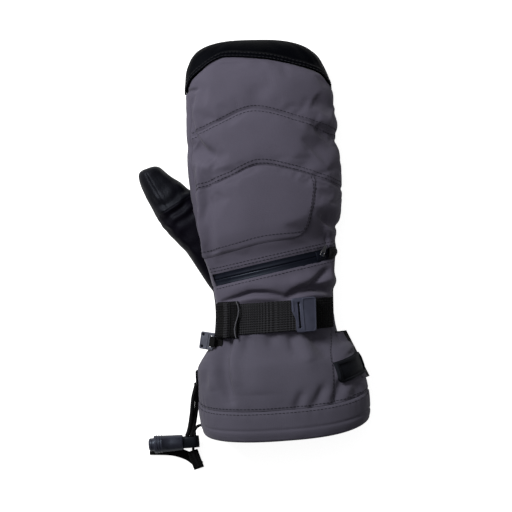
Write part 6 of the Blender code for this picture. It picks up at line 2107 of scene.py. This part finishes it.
def stitch_line(shape, tree, line, pitch=STITCH_PITCH, length=STITCH_LENGTH, width=STITCH_WIDTH):
    """Lays stitches along line, a list of (angle, place) pairs, and gives their number."""
    spots = [spot for spot in (seated(tree, *pair) for pair in line) if spot]
    along = Matrix.Rotation(pi / 2.0, 4, "Y")
    spindle = Matrix.Diagonal((width / 2.0, width / 2.0, length / 2.0, 1.0))
    walked, due, count = 0.0, pitch / 2.0, 0
    for (a, normal), (b, other) in zip(spots, spots[1:]):
        run = b - a
        if run.length < MERGE:
            continue
        while walked + run.length >= due:
            share = (due - walked) / run.length
            ahead = run.normalized()
            out = normal.lerp(other, share).normalized()
            side = out.cross(ahead).normalized()
            turn = Matrix((ahead, side, ahead.cross(side))).transposed().to_4x4()
            spot = Matrix.Translation(a + run * share + out * width * STITCH_SEAT)
            bmesh.ops.create_uvsphere(shape, u_segments=6, v_segments=5, radius=1.0,
                                      matrix=spot @ turn @ along @ spindle)
            count += 1
            due += pitch
        walked += run.length
    return count


def across_back(seam, offset, shares, steps=160):
    """A line along a seam of the back, offset towards the fingers."""
    line = []
    for index in range(steps + 1):
        angle = angle_for(mix(shares[0], shares[1], index / steps))
        line.append((angle, seam(share_across(angle)) + offset))
    return line


# %% Stitches on the back
BACK_STITCHES = ((finger_seam, (-0.0022, 0.0022)), (knuckle_seam, (0.0018, 0.0046)),
                 (zip_top, (0.0022, 0.0046)), (zip_bottom, (-0.0022,)))
BACK_SHARES = (share_across(SIDE_STRIP) + 0.012, 0.992)
POCKET_INSETS = (0.0016, 0.0040)
CAP_STITCHES = (0.0012, 0.0038)
CAP_SHARES = (-0.995, 0.995)
shape = bmesh.new()
tree = surface_of(back_pieces)
count = 0
for seam, offsets in BACK_STITCHES:
    for offset in offsets:
        count += stitch_line(shape, tree, across_back(seam, offset, BACK_SHARES))


def pocket_line(inset):
    """A line inside the pocket panel's right-hand and lower edges."""
    width = pocket_width(0.5)
    steps = 90
    pairs = [(inset / width, 1.0 - index / steps) for index in range(steps)]
    pairs += [(index / steps, inset / POCKET_LENGTH) for index in range(steps + 1)]
    spots = []
    for u, v in pairs:
        if v * POCKET_LENGTH < inset or u * width < inset:
            continue
        point = pocket_place(max(u, inset / width), max(v, inset / POCKET_LENGTH), 0.0)
        spots.append((angle_at(point.x, point.y), point.y))
    return spots


for inset in POCKET_INSETS:
    count += stitch_line(shape, tree, pocket_line(inset))
piece("back_stitches", shape, back_thread, "hand", "softshell")
shape = bmesh.new()
for offset in CAP_STITCHES:
    count += stitch_line(shape, tree, across_back(cap_seam, offset, CAP_SHARES))
piece("cap_stitches", shape, black_thread, "hand", "leather")
print(count, "stitches on the back")

# %% Stitches on the cuff
HEM_STITCHES = (0.0020, -0.0022)
HEM_STEPS = 420
SIDE_STITCH_TURN = 0.030
SIDE_STITCH_END = -0.0985
COVER_STITCHES = (0.06, 0.14, 0.86)
COVER_REACH = 0.0135
COVER_PITCH, COVER_STITCH = 0.0024, 0.0019
shape = bmesh.new()
tree = surface_of(cuff_pieces)
count = 0
turns = [tau * index / HEM_STEPS for index in range(HEM_STEPS + 1)]
for offset in HEM_STITCHES:
    count += stitch_line(shape, tree, [(turn, hem_seam(turn) + offset) for turn in turns])
seam_ends = (hem_seam(side_seam(CUFF_MIDDLE)) + HEM_STITCHES[0], SIDE_STITCH_END)
places = [mix(*seam_ends, index / 60) for index in range(61)]
count += stitch_line(shape, tree, [(side_seam(place) + SIDE_STITCH_TURN, place) for place in places])
piece("cuff_stitches", shape, cuff_thread, "hand", "softshell")
shape = bmesh.new()
tree = surface_of([cover])
for share in COVER_STITCHES:
    angle = mix(*cover_angles, share)
    line = [(angle, STRAP_CENTRE + mix(-COVER_REACH, COVER_REACH, index / 60)) for index in range(61)]
    count += stitch_line(shape, tree, line, COVER_PITCH, COVER_STITCH)
piece("strap_stitches", shape, black_thread, "hand", "webbing")
print(count, "stitches on the cuff and the strap")

# %% Painted highlight along the strap cover's edge
EDGE_BOW = 0.0016
EDGE_REACH = (-0.0145, 0.0148)
EDGE_RISE = 0.0012
EDGE_HIGHLIGHT_WIDTH = 0.0010
edge_angle = cover_angles[1] - 0.005
path = []
for index in range(41):
    bow = EDGE_BOW * sin(pi * index / 40 * 2.0) / half_width(STRAP_CENTRE)
    y = STRAP_CENTRE + mix(*EDGE_REACH, index / 40)
    path.append(skin_point(edge_angle + bow, y, -(second_level + STRAP_THICKNESS + EDGE_RISE)))
length = sum((b - a).length for a, b in zip(path, path[1:]))
# The pale tube along the cover's folded edge is a painted highlight.
piece("cover_edge", braided(path, length, EDGE_HIGHLIGHT_WIDTH), painted_edge_highlight, "hand", "webbing")
print("pale edge", round(length * 1000, 1), "mm")
